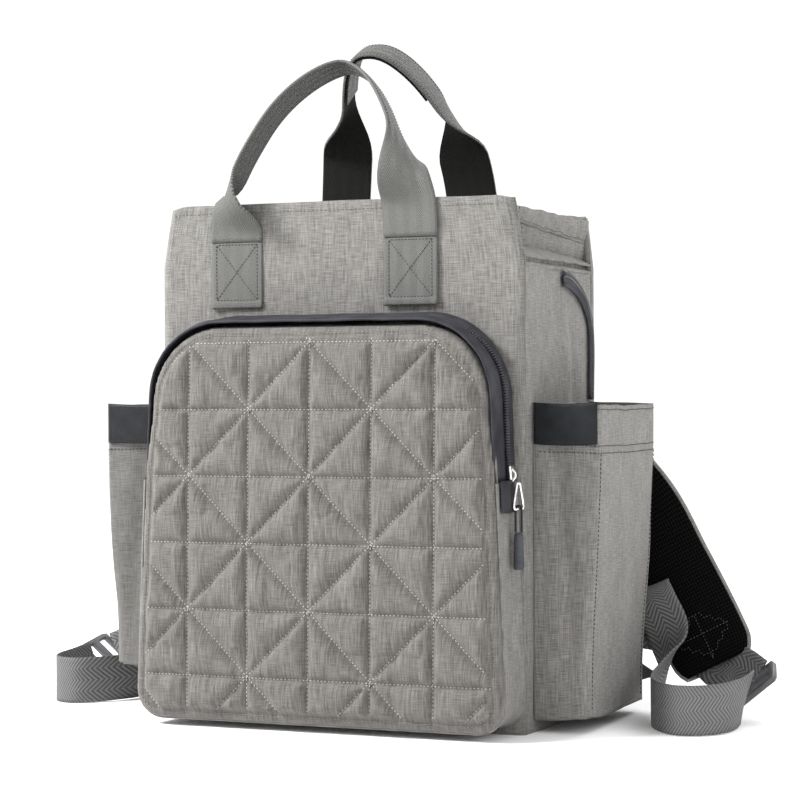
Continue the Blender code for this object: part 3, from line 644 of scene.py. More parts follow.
def panel_slack(x, z, seed):
    """How far a body panel leaves its flat plane: long soft waves, more near the loose top."""
    top = ease((z - 0.30) / 0.11)
    wave = 0.0016 * ruffle(x * 9, z * 9, 0, seed) + 0.0007 * ruffle(x * 30, z * 22, 3, seed)
    return wave + top * 0.0022 * ruffle(x * 14, z * 3, 7, seed)


def make_body_panel(name, node, y, outward, wall):
    """A body panel with its wing: slack cloth that turns in at its seams, with stitches along the wing."""
    top, half_at = wing_edge(node)

    def place(u, v):
        z = v * top
        edge = abs(2 * u - 1)
        x = outward * -(2 * u - 1) * half_at(z)
        z -= 0.0022 * ease((edge - 0.9) / 0.1) * ease((v - 0.95) / 0.05)
        z += 0.0012 * ruffle(x * 16, 0, 0, y * 50) * ease((v - 0.9) / 0.1)
        sag = panel_slack(x, z, y * 60) * (1 - ease((edge - 0.86) / 0.14))
        turn_in = 0.0022 * ease((edge - 0.965) / 0.035)
        return Vector((x, y + outward * (sag - turn_in), z))

    cloth(name, (110, 140), place, (2 * HALF, top), wall, [LINEN], "bag", [node])
    hem_z = top - 0.0065
    hem_half = half_at(hem_z) - 0.003
    hem = [(hem_half * (i / 30 - 1), hem_z) for i in range(61)]

    def on_panel(x, z, share, proud):
        return Vector((x, y + outward * (panel_slack(x, z, y * 60) * share + proud), z))

    lines = [[on_panel(x, z, 1.0, 0.0003) for x, z in hem]]
    heights = [between(BOX_TOP, top - 0.008, i / 14) for i in range(15)]
    for sign in (-1, 1):
        lines.append([on_panel(sign * (half_at(z) - 0.005), z, 0.6, -0.0002) for z in heights])
    sew(f"{name}_stitches", lines, HEM_STITCH, THREAD_GREY, "bag")


def make_wing_layers():
    """The turned hem that shows as a second layer behind each wing's slanting end."""
    for name, node, y, outward in (("front", "front_panel", FRONT, -1), ("rear", "back_panel", BACK, 1)):
        top, half_at = wing_edge(node)
        for side, sign in SIDES:

            def place(u, v):
                z = BOX_TOP - 0.012 + (top - BOX_TOP + 0.0105) * v
                x = sign * (half_at(z) - 0.0005 - 0.014 * u + 0.0008 * ruffle(z * 60, u * 3, 0, sign))
                return Vector((x, y - outward * (0.0052 + 0.0010 * math.sin(v * 9 + u * 2)), z))

            cloth(f"{name}_wing_hem_{side}", (8, 24), place, (0.014, 0.06), 0.0016, [LINEN], "bag",
                  (), 0)


# ---------------------------------------------------------------- side panels and their zips
def side_bulge(y, z, sign):
    """How far a side panel bellies out between its seams, with two soft folds in it."""
    inside = bell(y, 0.0, 0.075) * (1 - abs(y / 0.09) ** 4) * ease((0.352 - z) / 0.07)
    dent = bell(y, 0.022 + 0.10 * (0.30 - z), 0.010) - 0.8 * bell(y, 0.002 + 0.06 * (0.31 - z), 0.012)
    return 0.0042 * inside - 0.0030 * dent * inside + 0.0009 * ruffle(y * 40, z * 22, 0, sign * 5)


def make_sides():
    """The two side panels, and the zip that curves back down each of them."""
    run = BACK - SIDE_ZIP_INSET
    rise = BOX_TOP - 0.0115 - SIDE_ZIP_CURVE
    turns = [math.radians(90 - 4.5 * i) for i in range(21)]
    line = [Vector((run * math.cos(turn), SIDE_ZIP_CURVE + rise * math.sin(turn))) for turn in turns]
    drop = SIDE_ZIP_CURVE - 0.002 - SIDE_POCKET_TOP
    line += [Vector((run, SIDE_ZIP_CURVE - drop * i / 12)) for i in range(1, 13)]
    ways = [heading(line, i) for i in range(len(line))]
    for side, sign in SIDES:

        def on_panel(y, z, proud):
            return Vector((sign * (HALF + proud + side_bulge(y, z, sign)), y, z))

        def place(u, v):
            return on_panel(between(INNER_FRONT, INNER_BACK, u), (BOX_TOP - 0.002) * v, -0.0006)

        size = (INNER_BACK - INNER_FRONT, BOX_TOP)
        cloth(f"side_panel_cloth_{side}", (56, 90), place, size, 0.0032, [LINEN], "bag",
              [f"side_panel_{side}"], -sign)
        route = [on_panel(y, z, 0.0014) for y, z in line]
        make_side_zip(f"main_zip_side_{side}", route, Vector((sign, 0, 0)))
        seams = []
        for shift in (-0.0085, 0.0085):
            seams.append([on_panel(y - way.y * shift, z + way.x * shift, 0.0002)
                          for (y, z), way in zip(line, ways)])
        sew(f"side_zip_stitches_{side}", seams, SIDE_ZIP_STITCH, THREAD_GREY, "bag")


def make_side_zip(name, route, out):
    """A zip: a padded tape either side of a coil that stands a little proud."""
    width = 0.0125
    tape = [(point, out.cross(heading(route, i)).normalized()) for i, point in enumerate(route)]

    def place(u, v):
        point, side = tape[nearest(tape, v)]
        lift = 0.0011 * math.sin(math.pi * abs(2 * u - 1)) + 0.0002
        return point + side * ((u - 0.5) * width) + out * lift

    size = (width, path_length(route))
    cloth(f"{name}_tape", (14, len(route) - 1), place, size, 0.0008, [ZIP_TAPE], "bag", [name], 0)
    lifted = [point + out * 0.0007 for point in route]
    row_of_teeth(f"{name}_coil", lifted, 0.0019, (0.0014, 0.0054, 0.0036), lambda spot: out, "bag")


# ---------------------------------------------------------------- roof
def make_roof():
    """Two linen flaps with the main zip between them, and what lies beside them at each end."""
    upward = Vector((0, 0, 1))
    for name, outer, sign in (
        ("front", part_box("top_flap_front")[0].y, -1),
        ("rear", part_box("top_flap_rear")[1].y, 1),
    ):
        body = f"{name}_top_flap"

        def place(u, v):
            x = (2 * u - 1) * ROOF_HALF
            y = between(sign * 0.0095, outer, v)
            rise = 0.0022 * math.sin(math.pi * v) * (1 - (2 * u - 1) ** 6)
            return Vector((x, y, BOX_TOP - 0.0016 + rise + 0.0006 * ruffle(x * 22, y * 22, 0, sign)))

        def tape_place(u, v):
            rise = 0.0008 * math.sin(math.pi * v)
            return Vector(((2 * u - 1) * ROOF_HALF, sign * (0.0016 + 0.0092 * v), BOX_TOP - 0.0010 + rise))

        cloth(f"roof_cloth_{name}", (70, 24), place, (2 * ROOF_HALF, 0.072), 0.0016, [LINEN, LINING], body,
              [f"top_flap_{name}"], -sign)
        cloth(f"main_zip_tape_{name}", (60, 6), tape_place, (2 * ROOF_HALF, 0.0092), 0.0008, [ZIP_TAPE], body,
              (), -sign)
        end = ROOF_HALF - 0.002
        line = [Vector((x, sign * 0.0012, BOX_TOP - 0.0012)) for x in (-end, end)]
        row_of_teeth(f"main_zip_coil_{name}", line, 0.0019, (0.0013, 0.0022, 0.0016), lambda spot: upward,
                     body, [f"main_zip_teeth_{name}"])
        end = ROOF_HALF - 0.004
        edge = [Vector((between(-end, end, i / 40), sign * 0.0118, BOX_TOP - 0.0009)) for i in range(41)]
        sew(f"roof_stitches_{name}", [edge], ROOF_STITCH, THREAD_GREY, body)
    for side, sign in SIDES:
        low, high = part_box(f"top_corner_{side}")

        def corner_place(u, v):
            x = between(low.x, high.x, u)
            y = between(INNER_FRONT, INNER_BACK, v)
            dip = 0.0030 * ease((abs(x) - HALF + 0.010) / 0.010) ** 2
            return Vector((x, y, BOX_TOP - 0.0004 - dip + 0.0006 * ruffle(x * 30, y * 20, 0, sign)))

        size = (high.x - low.x, 0.162)
        cloth(f"top_corner_cloth_{side}", (18, 60), corner_place, size, 0.0016, [LINEN], "bag",
              [f"top_corner_{side}"])
        make_bellows(side, sign)
        make_gusset_layers(side, sign)
        make_main_slider(side, sign)


def make_bellows(side, sign):
    """The cloth folded between the two wings: in from the side seam, then back out to a turned band."""
    outer = HALF - 0.0009
    fold = [(outer, 0.0026), (outer - 0.012, 0.0098), (outer - 0.0265, 0.0205), (outer - 0.0285, 0.0235),
            (outer - 0.0240, 0.0275), (outer - 0.0120, 0.0375), (outer - 0.0098, 0.0390)]
    line = smooth_line([(x, 0, z) for x, z in fold], 6)

    def place(u, v):
        spot = line[nearest(line, v)]
        slack = math.sin(math.pi * u)
        droop = -0.0035 * slack * ease((spot.z - 0.024) / 0.015)
        wave = 0.0012 * ruffle(u * 6, v * 3, 0, sign * 3) * slack
        x = spot.x + wave - 0.0015 * slack * ease((spot.z - 0.03) / 0.01)
        return Vector((sign * x, between(INNER_FRONT, INNER_BACK, u), BOX_TOP + spot.z + droop + wave))

    cloth(f"bellows_{side}", (50, len(line) - 1), place, (0.162, 0.062), 0.0014, [LINEN], "bag",
          [f"wing_gusset_{side}"], 0)
    band = [traced(place, (0.025, v), (0.975, v), 38, (sign * 0.0011, 0, 0.0004)) for v in (0.62, 0.96)]
    sew(f"bellows_stitches_{side}", band, HEM_STITCH, THREAD_GREY, "bag")


def make_gusset_layers(side, sign):
    """The turned hem along the folded cloth's top, and the tuck that shows under it."""
    layers = (
        ("hem", (0.0095, 0.0040), -0.080, (0.0415, 0.0400), (0.0100, 0.0190), 0.12),
        ("tuck", (0.0150, 0.0070), -0.058, (0.0330, 0.0225), (0.0200, 0.0175), 0.88),
    )
    for name, insets, front, tops, talls, stitch in layers:

        def place(u, v):
            tall = between(*talls, u)
            inset = between(*insets, u) + 0.0040 * (1 - v) ** 2
            slack = 0.0014 * ruffle(u * 5, v * 2, 0, tall * 900) * math.sin(math.pi * u)
            z = BOX_TOP + between(*tops, u) - tall * (1 - v) + slack
            return Vector((sign * (HALF - inset + slack), between(front, BACK - 0.0045, u), z))

        cloth(f"gusset_{name}_{side}", (50, 10), place, (0.165, 0.018), 0.0019, [LINEN], "bag",
              (), 0)
        proud = (sign * 0.0012, 0, 0)
        lines = [traced(place, (0.03, stitch), (0.97, stitch), 50, proud),
                 traced(place, (0.045, 0.1), (0.045, 0.9), 8, proud)]
        sew(f"gusset_{name}_stitches_{side}", lines, GUSSET_STITCH, THREAD_DARK, "bag")


def make_slider_body(name, node, size, narrow_way, waist, edge, centre):
    """A zip slider's body: a small block, drawn in towards one end."""
    shape = bmesh.new()
    bmesh.ops.create_cube(shape, size=1, matrix=Matrix.Diagonal((*size, 1)))
    for vert in shape.verts:
        if vert.co.dot(narrow_way) > 0:
            vert.co.y *= waist
    round_edges(shape, shape.edges[:], edge)
    bmesh.ops.translate(shape, vec=centre, verts=shape.verts)
    add_piece(name, shape, [SILVER], node, [node])


def make_main_slider(side, sign):
    """A zip slider: a waisted body with a bridge, and a flat pull with an eye at each end."""
    node = f"main_slider_{side}"
    low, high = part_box(node)
    centre_x = (low.x + high.x) / 2
    make_slider_body(f"main_slider_body_{side}", node, (high.x - low.x, high.y - low.y, 0.0026),
                     Vector((sign, 0, 0)), 0.72, 0.0008, (centre_x, 0, low.z + 0.0013))
    bridge = [Vector((centre_x + x, 0, z)) for x, z in arc((0, low.z + 0.0022), 0.0026, 0, 180, 12)]
    tube(f"main_slider_bridge_{side}", bridge, 0.0006, [SILVER], node)
    node = f"main_pull_{side}"
    low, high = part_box(node)
    shape = bmesh.new()
    bmesh.ops.create_circle(shape, cap_ends=True, segments=40, radius=1)
    for vert in shape.verts:
        x, y = vert.co.x, vert.co.y
        waist = 0.80 + 0.20 * abs(x)
        vert.co.x = math.copysign(abs(x) ** 0.5, x) * (high.x - low.x) / 2
        vert.co.y = math.copysign(abs(y) ** 0.6, y) * (high.y - low.y) / 2 * waist
    bmesh.ops.inset_region(shape, faces=shape.faces[:], thickness=0.0012)
    inner = [face for face in shape.faces if len(face.verts) > 4]
    bmesh.ops.translate(shape, vec=(0, 0, -0.0004), verts=inner[0].verts[:])
    bmesh.ops.translate(shape, vec=(*((low + high) / 2).xy, high.z), verts=shape.verts)
    pull = add_piece(f"main_pull_tab_{side}", shape, [SILVER], node, [node])
    thicken(pull, 0.0013)


# ---------------------------------------------------------------- front pocket
def pocket_half(z):
    low = POCKET_LOW + POCKET_BASE_RADIUS
    high = POCKET_TOP - POCKET_TOP_RADIUS
    return POCKET_BASE_HALF + (POCKET_TOP_HALF - POCKET_BASE_HALF) * (z - low) / (high - low)


def pocket_inside(x, z):
    """How far inside the front pocket's outline a point lies, in metres."""
    x = abs(x)
    side = pocket_half(min(max(z, POCKET_LOW + POCKET_BASE_RADIUS), POCKET_TOP - POCKET_TOP_RADIUS)) - x
    for radius, edge, ways in ((POCKET_TOP_RADIUS, POCKET_TOP, 1), (POCKET_BASE_RADIUS, POCKET_LOW, -1)):
        centre_z = edge - ways * radius
        centre_x = pocket_half(centre_z) - radius
        if (z - centre_z) * ways > 0 and x > centre_x:
            return radius - math.hypot(x - centre_x, z - centre_z)
    return min(side, POCKET_TOP - z, z - POCKET_LOW)


def face_inside(x, z):
    """How far inside the quilted face's own edge a point lies: above the fold the tape stands round it."""
    return pocket_inside(x, z) - 0.0036 * ease((z - 0.20) / 0.05)


def quilt_seams(x, z):
    """How deep the closest seam pulls the padding in, from 0 to 1, and how far off it is."""
    column = (x - QUILT_COLUMN) / QUILT_CELL
    row = (QUILT_ROW - z) / QUILT_CELL
    rising, falling = (column + row) / 2, (column - row) / 2
    pull, closest = 0.0, 1.0
    for share, depth in (
        (abs(column - round(column)), 0.80),
        (abs(row - round(row)), 0.68),
        (abs(rising - round(rising)) * math.sqrt(2), 0.62),
        (abs(falling - round(falling)) * math.sqrt(2), 1.0),
    ):
        away = share * QUILT_CELL
        closest = min(closest, away)
        valley = 0.72 * (1 - min(away / QUILT_REACH, 1)) ** 2.2 + 0.28 * (1 - min(away / 0.0036, 1))
        pull = max(pull, depth * valley)
    return pull, closest


def quilt_front(x, z):
    """The quilted face's front: padded triangles pulled in at every seam, and an edge that rolls back."""
    pull, away = quilt_seams(x, z)
    inside = face_inside(x, z)
    border = abs(inside - QUILT_BORDER)
    if inside < QUILT_BORDER:
        pull = 0.45 * (1 - min(border / QUILT_BORDER, 1)) + 0.55
    pull = max(pull, (1 - min(border / 0.0095, 1)) ** 2.4)
    pucker = 0.0005 * ruffle(x * 190, z * 190, 0, 4) * math.exp(-away / 0.006)
    slack = 0.0009 * ruffle(x * 30, z * 30, 0, 2) + 0.0005 * ruffle(x * 80, z * 60, 0, 9)
    plump = 0.86 + 0.28 * ruffle(round(x / 0.026), round(z / 0.026), 0.5)
    height = QUILT_PUFF * (1 - pull) * plump + pucker + slack
    belly = 0.0048 * (1 - ease((z - 0.02) / 0.26)) - 0.0022 * ease((z - 0.22) / 0.09)
    roll = min(max(1 - inside / 0.0075, 0), 1)
    edge = 0.0058 * (1 - math.sqrt(max(1 - roll * roll, 0)))
    return POCKET_FACE_FRONT + 0.0022 - belly - height * (1 - roll) + edge


def make_quilted_face():
    """One padded sheet, trimmed to the pocket's outline."""
    shape = bmesh.new()
    reach_x = 0.160
    steps_x = int(2 * reach_x / QUILT_STEP) + 1
    steps_z = int((POCKET_TOP - POCKET_LOW) / QUILT_STEP) + 3
    bmesh.ops.create_grid(shape, x_segments=steps_x, y_segments=steps_z, size=0.5)
    start_x = QUILT_COLUMN - QUILT_STEP * round((QUILT_COLUMN + reach_x) / QUILT_STEP)
    start_z = QUILT_ROW - QUILT_STEP * (round((QUILT_ROW - POCKET_LOW) / QUILT_STEP) + 1)
    for vert in shape.verts:
        x = start_x + round((vert.co.x + 0.5) * steps_x) * QUILT_STEP
        z = start_z + round((vert.co.y + 0.5) * steps_z) * QUILT_STEP
        vert.co = (x, 0, z)
    middles = [(face, face.calc_center_median()) for face in shape.faces]
    outside = [face for face, middle in middles if face_inside(middle.x, middle.z) < 0]
    bmesh.ops.delete(shape, geom=outside, context="FACES")
    probe = 0.0005
    for vert in [vert for vert in shape.verts if vert.is_boundary]:
        for _ in range(3):
            x, z = vert.co.x, vert.co.z
            depth = face_inside(x, z)
            slope = Vector((face_inside(x + probe, z) - depth, 0, face_inside(x, z + probe) - depth)) / probe
            if slope.length > 0.1:
                vert.co -= slope.normalized() * depth
    weave = shape.loops.layers.uv.new("weave")
    for face in shape.faces:
        for loop in face.loops:
            loop[weave].uv = (loop.vert.co.x, loop.vert.co.z)
    for vert in shape.verts:
        vert.co.y = quilt_front(vert.co.x, vert.co.z)
    face = add_piece("quilted_face", shape, [LINEN_QUILT_SHADED, LINING], None,
                     ["pocket_face_lower", "pocket_face_upper"])
    apply_modifier(face, thicken(face, 0.0022, -1, 1))
    fold_with_pocket(face)


def fold_with_pocket(piece):
    """Bakes the piece's place into its mesh; the fold's two ends are worked out but not used."""
    start, end = (0, FRONT, POCKET_HINGE - 0.010), (0, FRONT, POCKET_HINGE + 0.010)
    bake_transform(piece)
    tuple(start)
    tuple(end)


def quilt_line(start, way):
    """A seam's thread, from where it comes inside the face's border to where it leaves it."""
    line = []
    for i in range(int(0.50 / THREAD_PACE)):
        x = start[0] + way[0] * THREAD_PACE * i
        z = start[1] + way[1] * THREAD_PACE * i
        if face_inside(x, z) > QUILT_BORDER:
            line.append(Vector((x, quilt_front(x, z) - 0.00035, z)))
        elif line:
            break
    return line


def border_line(inset):
    """A row of stitches a set distance inside the face's own edge."""
    line = []
    outline = pocket_outline(inset)
    for start, end in zip(outline, outline[1:]):
        for j in range(6):
            x, z = between(start[0], end[0], j / 6), between(start[1], end[1], j / 6)
            shift = inset - face_inside(x, z)
            if z < 0.27:
                x -= x * abs(shift) / 0.15
            else:
                out = Vector((x, z - 0.255)).normalized()
                x, z = x - out.x * shift, z - out.y * shift
            line.append(Vector((x, quilt_front(x, z) - 0.0002, z)))
    return line


def make_quilt_threads():
    """White thread along every quilting seam, and a double row round the edge."""
    lines = []
    for i in range(-1, 7):
        lines.append(quilt_line((QUILT_COLUMN + QUILT_CELL * i, -0.005), (0, 1)))
        lines.append(quilt_line((-0.165, QUILT_ROW - QUILT_CELL * i), (1, 0)))
    slope = math.sqrt(0.5)
    for i in range(-8, 9):
        for way in (1, -1):
            start = (QUILT_COLUMN - QUILT_CELL * 2, QUILT_ROW - QUILT_CELL * 2 * i)
            lines.append(quilt_line(start, (slope, way * slope)))
    lines = [line for line in lines if len(line) > 4]
    fold_with_pocket(sew("quilting_threads", lines, QUILT_STITCH, THREAD_WHITE, None))
    lines = [border_line(inset) for inset in (QUILT_BORDER, 0.0062)]
    edge = sew("quilting_edge_threads", lines, QUILT_EDGE_STITCH, THREAD_PALE, None)
    fold_with_pocket(edge)


def pocket_right(low, steps, inset):
    """The outline's right side from a height up, and its round top corner."""
    top = POCKET_TOP - POCKET_TOP_RADIUS
    heights = [between(low, top, i / steps) for i in range(steps)]
    crown = arc((pocket_half(top) - POCKET_TOP_RADIUS, top), POCKET_TOP_RADIUS - inset, 0, 90, 16)
    return [(pocket_half(z) - inset, z) for z in heights] + crown


def pocket_outline(inset):
    """The whole outline, a set distance in, from the bottom left round the top to the bottom right."""
    low = POCKET_LOW + POCKET_BASE_RADIUS
    base = arc((pocket_half(low) - POCKET_BASE_RADIUS, low), POCKET_BASE_RADIUS - inset, -90, 0, 8)
    right = base + pocket_right(low, 24, inset)[1:]
    return [(-x, z) for x, z in right] + right[::-1] + [(-right[0][0], right[0][1])]


def pocket_arch():
    """The outline above the fold only, from left to right."""
    right = pocket_right(POCKET_HINGE, 10, 0.0)
    left = [(-x, z) for x, z in right]
    top = [(between(left[-1][0], right[-1][0], i / 20), left[-1][1]) for i in range(1, 20)]
    return left + top + right[::-1]


def outward_of(outline, i):
    ahead = Vector(outline[min(i + 1, len(outline) - 1)]) - Vector(outline[max(i - 1, 0)])
    return Vector((-ahead.y, ahead.x)).normalized()


def make_pocket_zip():
    """Two padded charcoal tapes round the pocket's top, with the coil sunk between them."""
    arch = pocket_arch()
    front_gusset, rear_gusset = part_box("pocket_gusset_front"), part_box("pocket_gusset_rear")
    for row, body, start, end, crown, foot in (
        ("front", "pocket_flap", POCKET_FACE_BACK - 0.0026, front_gusset[1].y, 0.0028, 0.0004),
        ("rear", "bag", rear_gusset[0].y, rear_gusset[1].y, 0.0044, 0.0016),
    ):

        def place(u, v):
            i = nearest(arch, v)
            out = outward_of(arch, i)
            upward = max(out.y, 0)
            proud = crown * upward**2 + foot
            reach = proud * math.sin(math.pi * min(u * 0.98 + 0.01, 1)) ** 0.55 - 0.0010 + 0.0012 * upward
            reach += 0.0006 * ruffle(v * 30, u * 3, 0, start * 90)
            return Vector((arch[i][0] + out.x * reach, between(start, end, u), arch[i][1] + out.y * reach))

        def out_at(spot):
            away = [(x - spot.x) ** 2 + (z - spot.z) ** 2 for x, z in arch]
            out = outward_of(arch, away.index(min(away)))
            return Vector((out.x, 0, out.y))

        size = (abs(end - start), path_length([Vector((x, 0, z)) for x, z in arch]))
        cloth(f"front_zip_tape_{row}", (14, len(arch) - 1), place, size, 0.0016, [ZIP_TAPE], body,
              [f"pocket_gusset_{row}"], 1)
        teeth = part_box(f"front_zip_teeth_{row}")
        y = (teeth[0].y + teeth[1].y) / 2
        outs = [outward_of(arch, i) for i in range(len(arch))]
        line = [Vector((x + out.x * 0.0005, y, z + out.y * 0.0005)) for (x, z), out in zip(arch, outs)]
        row_of_teeth(f"front_zip_coil_{row}", line, 0.0021, (0.0015, 0.0034, 0.0044), out_at, body,
                     [f"front_zip_teeth_{row}"])
    make_pocket_gusset()


def make_pocket_gusset():
    """Linen from the zip's right end down, under the base and up to its left end, and the zip's end stops."""
    low = POCKET_LOW + POCKET_BASE_RADIUS
    heights = [POCKET_HINGE - 0.0006 - (POCKET_HINGE - low) * i / 24 for i in range(24)]
    right = [(pocket_half(z), z) for z in heights]
    right += arc((pocket_half(low) - POCKET_BASE_RADIUS, low), POCKET_BASE_RADIUS, 0, -90, 10)
    left = [(-x, z) for x, z in right]
    floor = [(between(right[-1][0], left[-1][0], i / 30), right[-1][1]) for i in range(1, 30)]
    bowl = right + floor + left[::-1]
    front = POCKET_FACE_BACK - 0.0030
    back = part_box("pocket_gusset_right")[1].y

    def place(u, v):
        i = nearest(bowl, v)
        out = outward_of(bowl, i)
        fold = 0.0014 * ruffle(u * 3, v * 26, 0, 3) * math.sin(math.pi * u)
        reach = 0.0010 - 0.0022 * math.sin(math.pi * u) - fold
        z = max(bowl[i][1] + out.y * reach, 0.0012)
        return Vector((bowl[i][0] + out.x * reach, between(front, back, u), z))

    length = path_length([Vector((x, 0, z)) for x, z in bowl])
    cloth("pocket_gusset_cloth", (16, len(bowl) - 1), place, (back - front, length), 0.0016, [LINEN], "bag",
          ["pocket_gusset_right", "pocket_gusset_left", "pocket_gusset_base"], 1)
    for side, sign in SIDES:

        def stop_place(u, v):
            z = POCKET_HINGE + 0.001 - 0.024 * v
            x = pocket_half(z) + 0.0013 + 0.0018 * math.sin(math.pi * (0.1 + 0.8 * u))
            return Vector((sign * x, front + 0.004 + 0.030 * u, z))

        cloth(f"zip_stop_{side}", (10, 10), stop_place, (0.030, 0.024), 0.0009, [ZIP_TAPE], "bag",
              (), 0)


def make_front_pull():
    """The pocket zip's slider with its bridge, and a wire loop that hangs from it."""
    low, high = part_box("front_slider")
    centre = (low + high) / 2
    make_slider_body("front_slider_body", "front_slider", (0.0026, high.y - low.y, high.z - low.z),
                     Vector((0, 0, -1)), 0.62, 0.0009, (low.x + 0.0016, centre.y, centre.z))
    bridge = []
    for t in [i / 12 for i in range(13)]:
        out = 0.0022 + 0.0030 * math.sin(math.pi * t)
        bridge.append(Vector((low.x + out, centre.y, high.z - 0.0022 - 0.0100 * t)))
    tube("front_slider_bridge", bridge, 0.0009, [SILVER], "front_slider")
    low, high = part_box("front_pull")
    x, y = (low.x + high.x) / 2, (low.y + high.y) / 2
    wire = 0.0011
    top, foot = high.z - wire, low.z + wire
    half = (high.y - low.y) / 2 - wire
    right = [(0.30, top), (0.45, top - 0.003), (0.98, foot + 0.004), (0.86, foot)]
    left = [(-share, z) for share, z in right[::-1]]
    corners = [(-0.30, top), *right, (0.0, foot), *left]
    aside = math.radians(32)
    across = (half * math.sin(aside), half * math.cos(aside))
    loop = smooth_line([(x + across[0] * share, y + across[1] * share, z) for share, z in corners], 6)
    tube("front_pull_loop", loop, wire, [SILVER], "front_pull", ["front_pull"], closed=True)
    make_pull_cord(x, y, foot)


def make_pull_cord(x, y, foot):
    """The cord doubled over the wire loop's foot, and the moulded grip that holds its two ends."""
    low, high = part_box("front_grip")
    bend = 0.0024
    end = high.z - foot + 0.0003
    points = [(-bend, end), *arc((0, 0), bend, 180, 0, 12), (bend, end)]
    spots = [Vector((x + a, y, foot + b)) for a, b in points]
    cord = bpy.data.curves.new("front_pull_cord_line", "CURVE")
    cord.dimensions = "3D"
    cord.bevel_depth = 0.0009
    cord.bevel_resolution = 3
    cord.use_fill_caps = True
    spline = cord.splines.new("POLY")
    spline.points.add(len(spots) - 1)
    for point, spot in zip(spline.points, spots):
        point.co = (*spot, 1)
    cord.materials.append(CORD)
    line = bpy.data.objects.new("pull_cord_doubled", cord)
    bpy.context.scene.collection.objects.link(line)
    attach(line, "front_grip")
    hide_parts("front_pull_cord")
    radius = (high.x - low.x) / 2
    height = high.z - low.z
    profile = [(0.0, 0.0), (radius * 0.72, 0.0), (radius * 0.95, 0.0012), (radius, 0.003)]
    for i in range(6):
        z = 0.006 + i * 0.0036
        for share, rise in ((0.99, 0.0), (0.90, 0.0009), (0.975, 0.0018)):
            profile.append((radius * (share - 0.025 * i), z + rise))
    profile += [(radius * 0.80, height - 0.002), (radius * 0.72, height - 0.0005), (radius * 0.6, height)]
    profile.append((0.0, height))
    grip = turned("pull_grip", profile, (x, y, low.z), [GRIP], "front_grip", ["front_grip"])
    tuple(spots[0])
    path_length(spots)


# ---------------------------------------------------------------- side pockets
def side_pocket_plan(share, height):
    """A place along the wall's plan at a height: share 0 is the front seam, 1 the rear one."""
    out = HALF + between(SIDE_POCKET_BASE_REACH, SIDE_POCKET_OUT - HALF - 0.0011, ease(height))
    inner = HALF + 0.0003
    radius = 0.006
    front, back = SIDE_POCKET_FRONT + 0.0011, SIDE_POCKET_BACK - 0.0011
    plan = [(inner, front), *arc((out - radius, front + radius), radius, -90, 0, 6),
            *arc((out - radius, back - radius), radius, 0, 90, 6), (inner, back)]
    lengths = [math.dist(a, b) for a, b in zip(plan, plan[1:])]
    goal = share * sum(lengths)
    for start, end, step in zip(plan, plan[1:], lengths):
        if goal <= step:
            return between(start[0], end[0], goal / step), between(start[1], end[1], goal / step)
        goal -= step
    return plan[-1]


def make_side_pockets():
    """Soft pockets: a wall wrapped round three sides, its stitches, a floor and the dark band."""
    for side, sign in SIDES:

        def place(u, v):
            x, y = side_pocket_plan(u, v)
            away = Vector((x - HALF - 0.02, y)).normalized()
            ripple = ruffle(u * 9, v * 3.2, 0, sign * 7)
            push = math.sin(math.pi * v) * (0.0040 * bell(u, 0.5, 0.22) + 0.0018 * ripple)
            fold = 0.0030 * bell(u, 0.06 + 0.10 * (1 - v), 0.035) * ease(v / 0.3) * ease((1 - v) / 0.25)
            seam = 0.0016 * (bell(u, 0.205, 0.006) + bell(u, 0.795, 0.006))
            amount = (push - fold * bell(u, 0.10, 0.10) + seam) * ease(u / 0.05) * ease((1 - u) / 0.05)
            if sign < 0:
                x = HALF + (x - HALF) * (1.15 + 0.10 * (1 - v))
            sag = 0.0045 * bell(u, 0.20, 0.07) * (1 - v) ** 2 - 0.0035 * math.sin(math.pi * u) * v**3
            z = between(SIDE_POCKET_LOW, SIDE_POCKET_TOP, v) + sag * 0.8
            z += 0.0012 * ruffle(u * 12, 0, 0, sign * 2) * v**4
            z += LEFT_POCKET_LIFT * (sign < 0) * (1 - v) ** 2
            return Vector((sign * (x + away.x * amount), y + away.y * amount, max(z, 0.0022)))

        def stitch_place(u, v):
            along = place(min(u + 0.004, 1), v) - place(max(u - 0.004, 0), v)
            return place(u, v) + along.cross(Vector((0, 0, 1))).normalized() * sign * 0.0003

        length = 2 * (SIDE_POCKET_OUT - HALF) + SIDE_POCKET_BACK - SIDE_POCKET_FRONT
        size = (length, SIDE_POCKET_TOP - SIDE_POCKET_LOW)
        cloth(f"side_pocket_cloth_{side}", (130, 90), place, size, 0.0022, [LINEN, LINEN_INNER_SHADED], "bag",
              [f"side_pocket_wall_{side}"], -sign)
        lines = [traced(stitch_place, (0.02, v), (0.98, v), 110) for v in (0.845, 0.868, 0.985)]
        lines += [traced(stitch_place, (u, 0.02), (u, 0.84), 60) for u in (0.222, 0.778)]
        sew(f"side_pocket_stitches_{side}", lines, SIDE_POCKET_STITCH, THREAD_DARK, "bag")
        make_pocket_floor(side, sign)
        make_grained_band(side, sign)


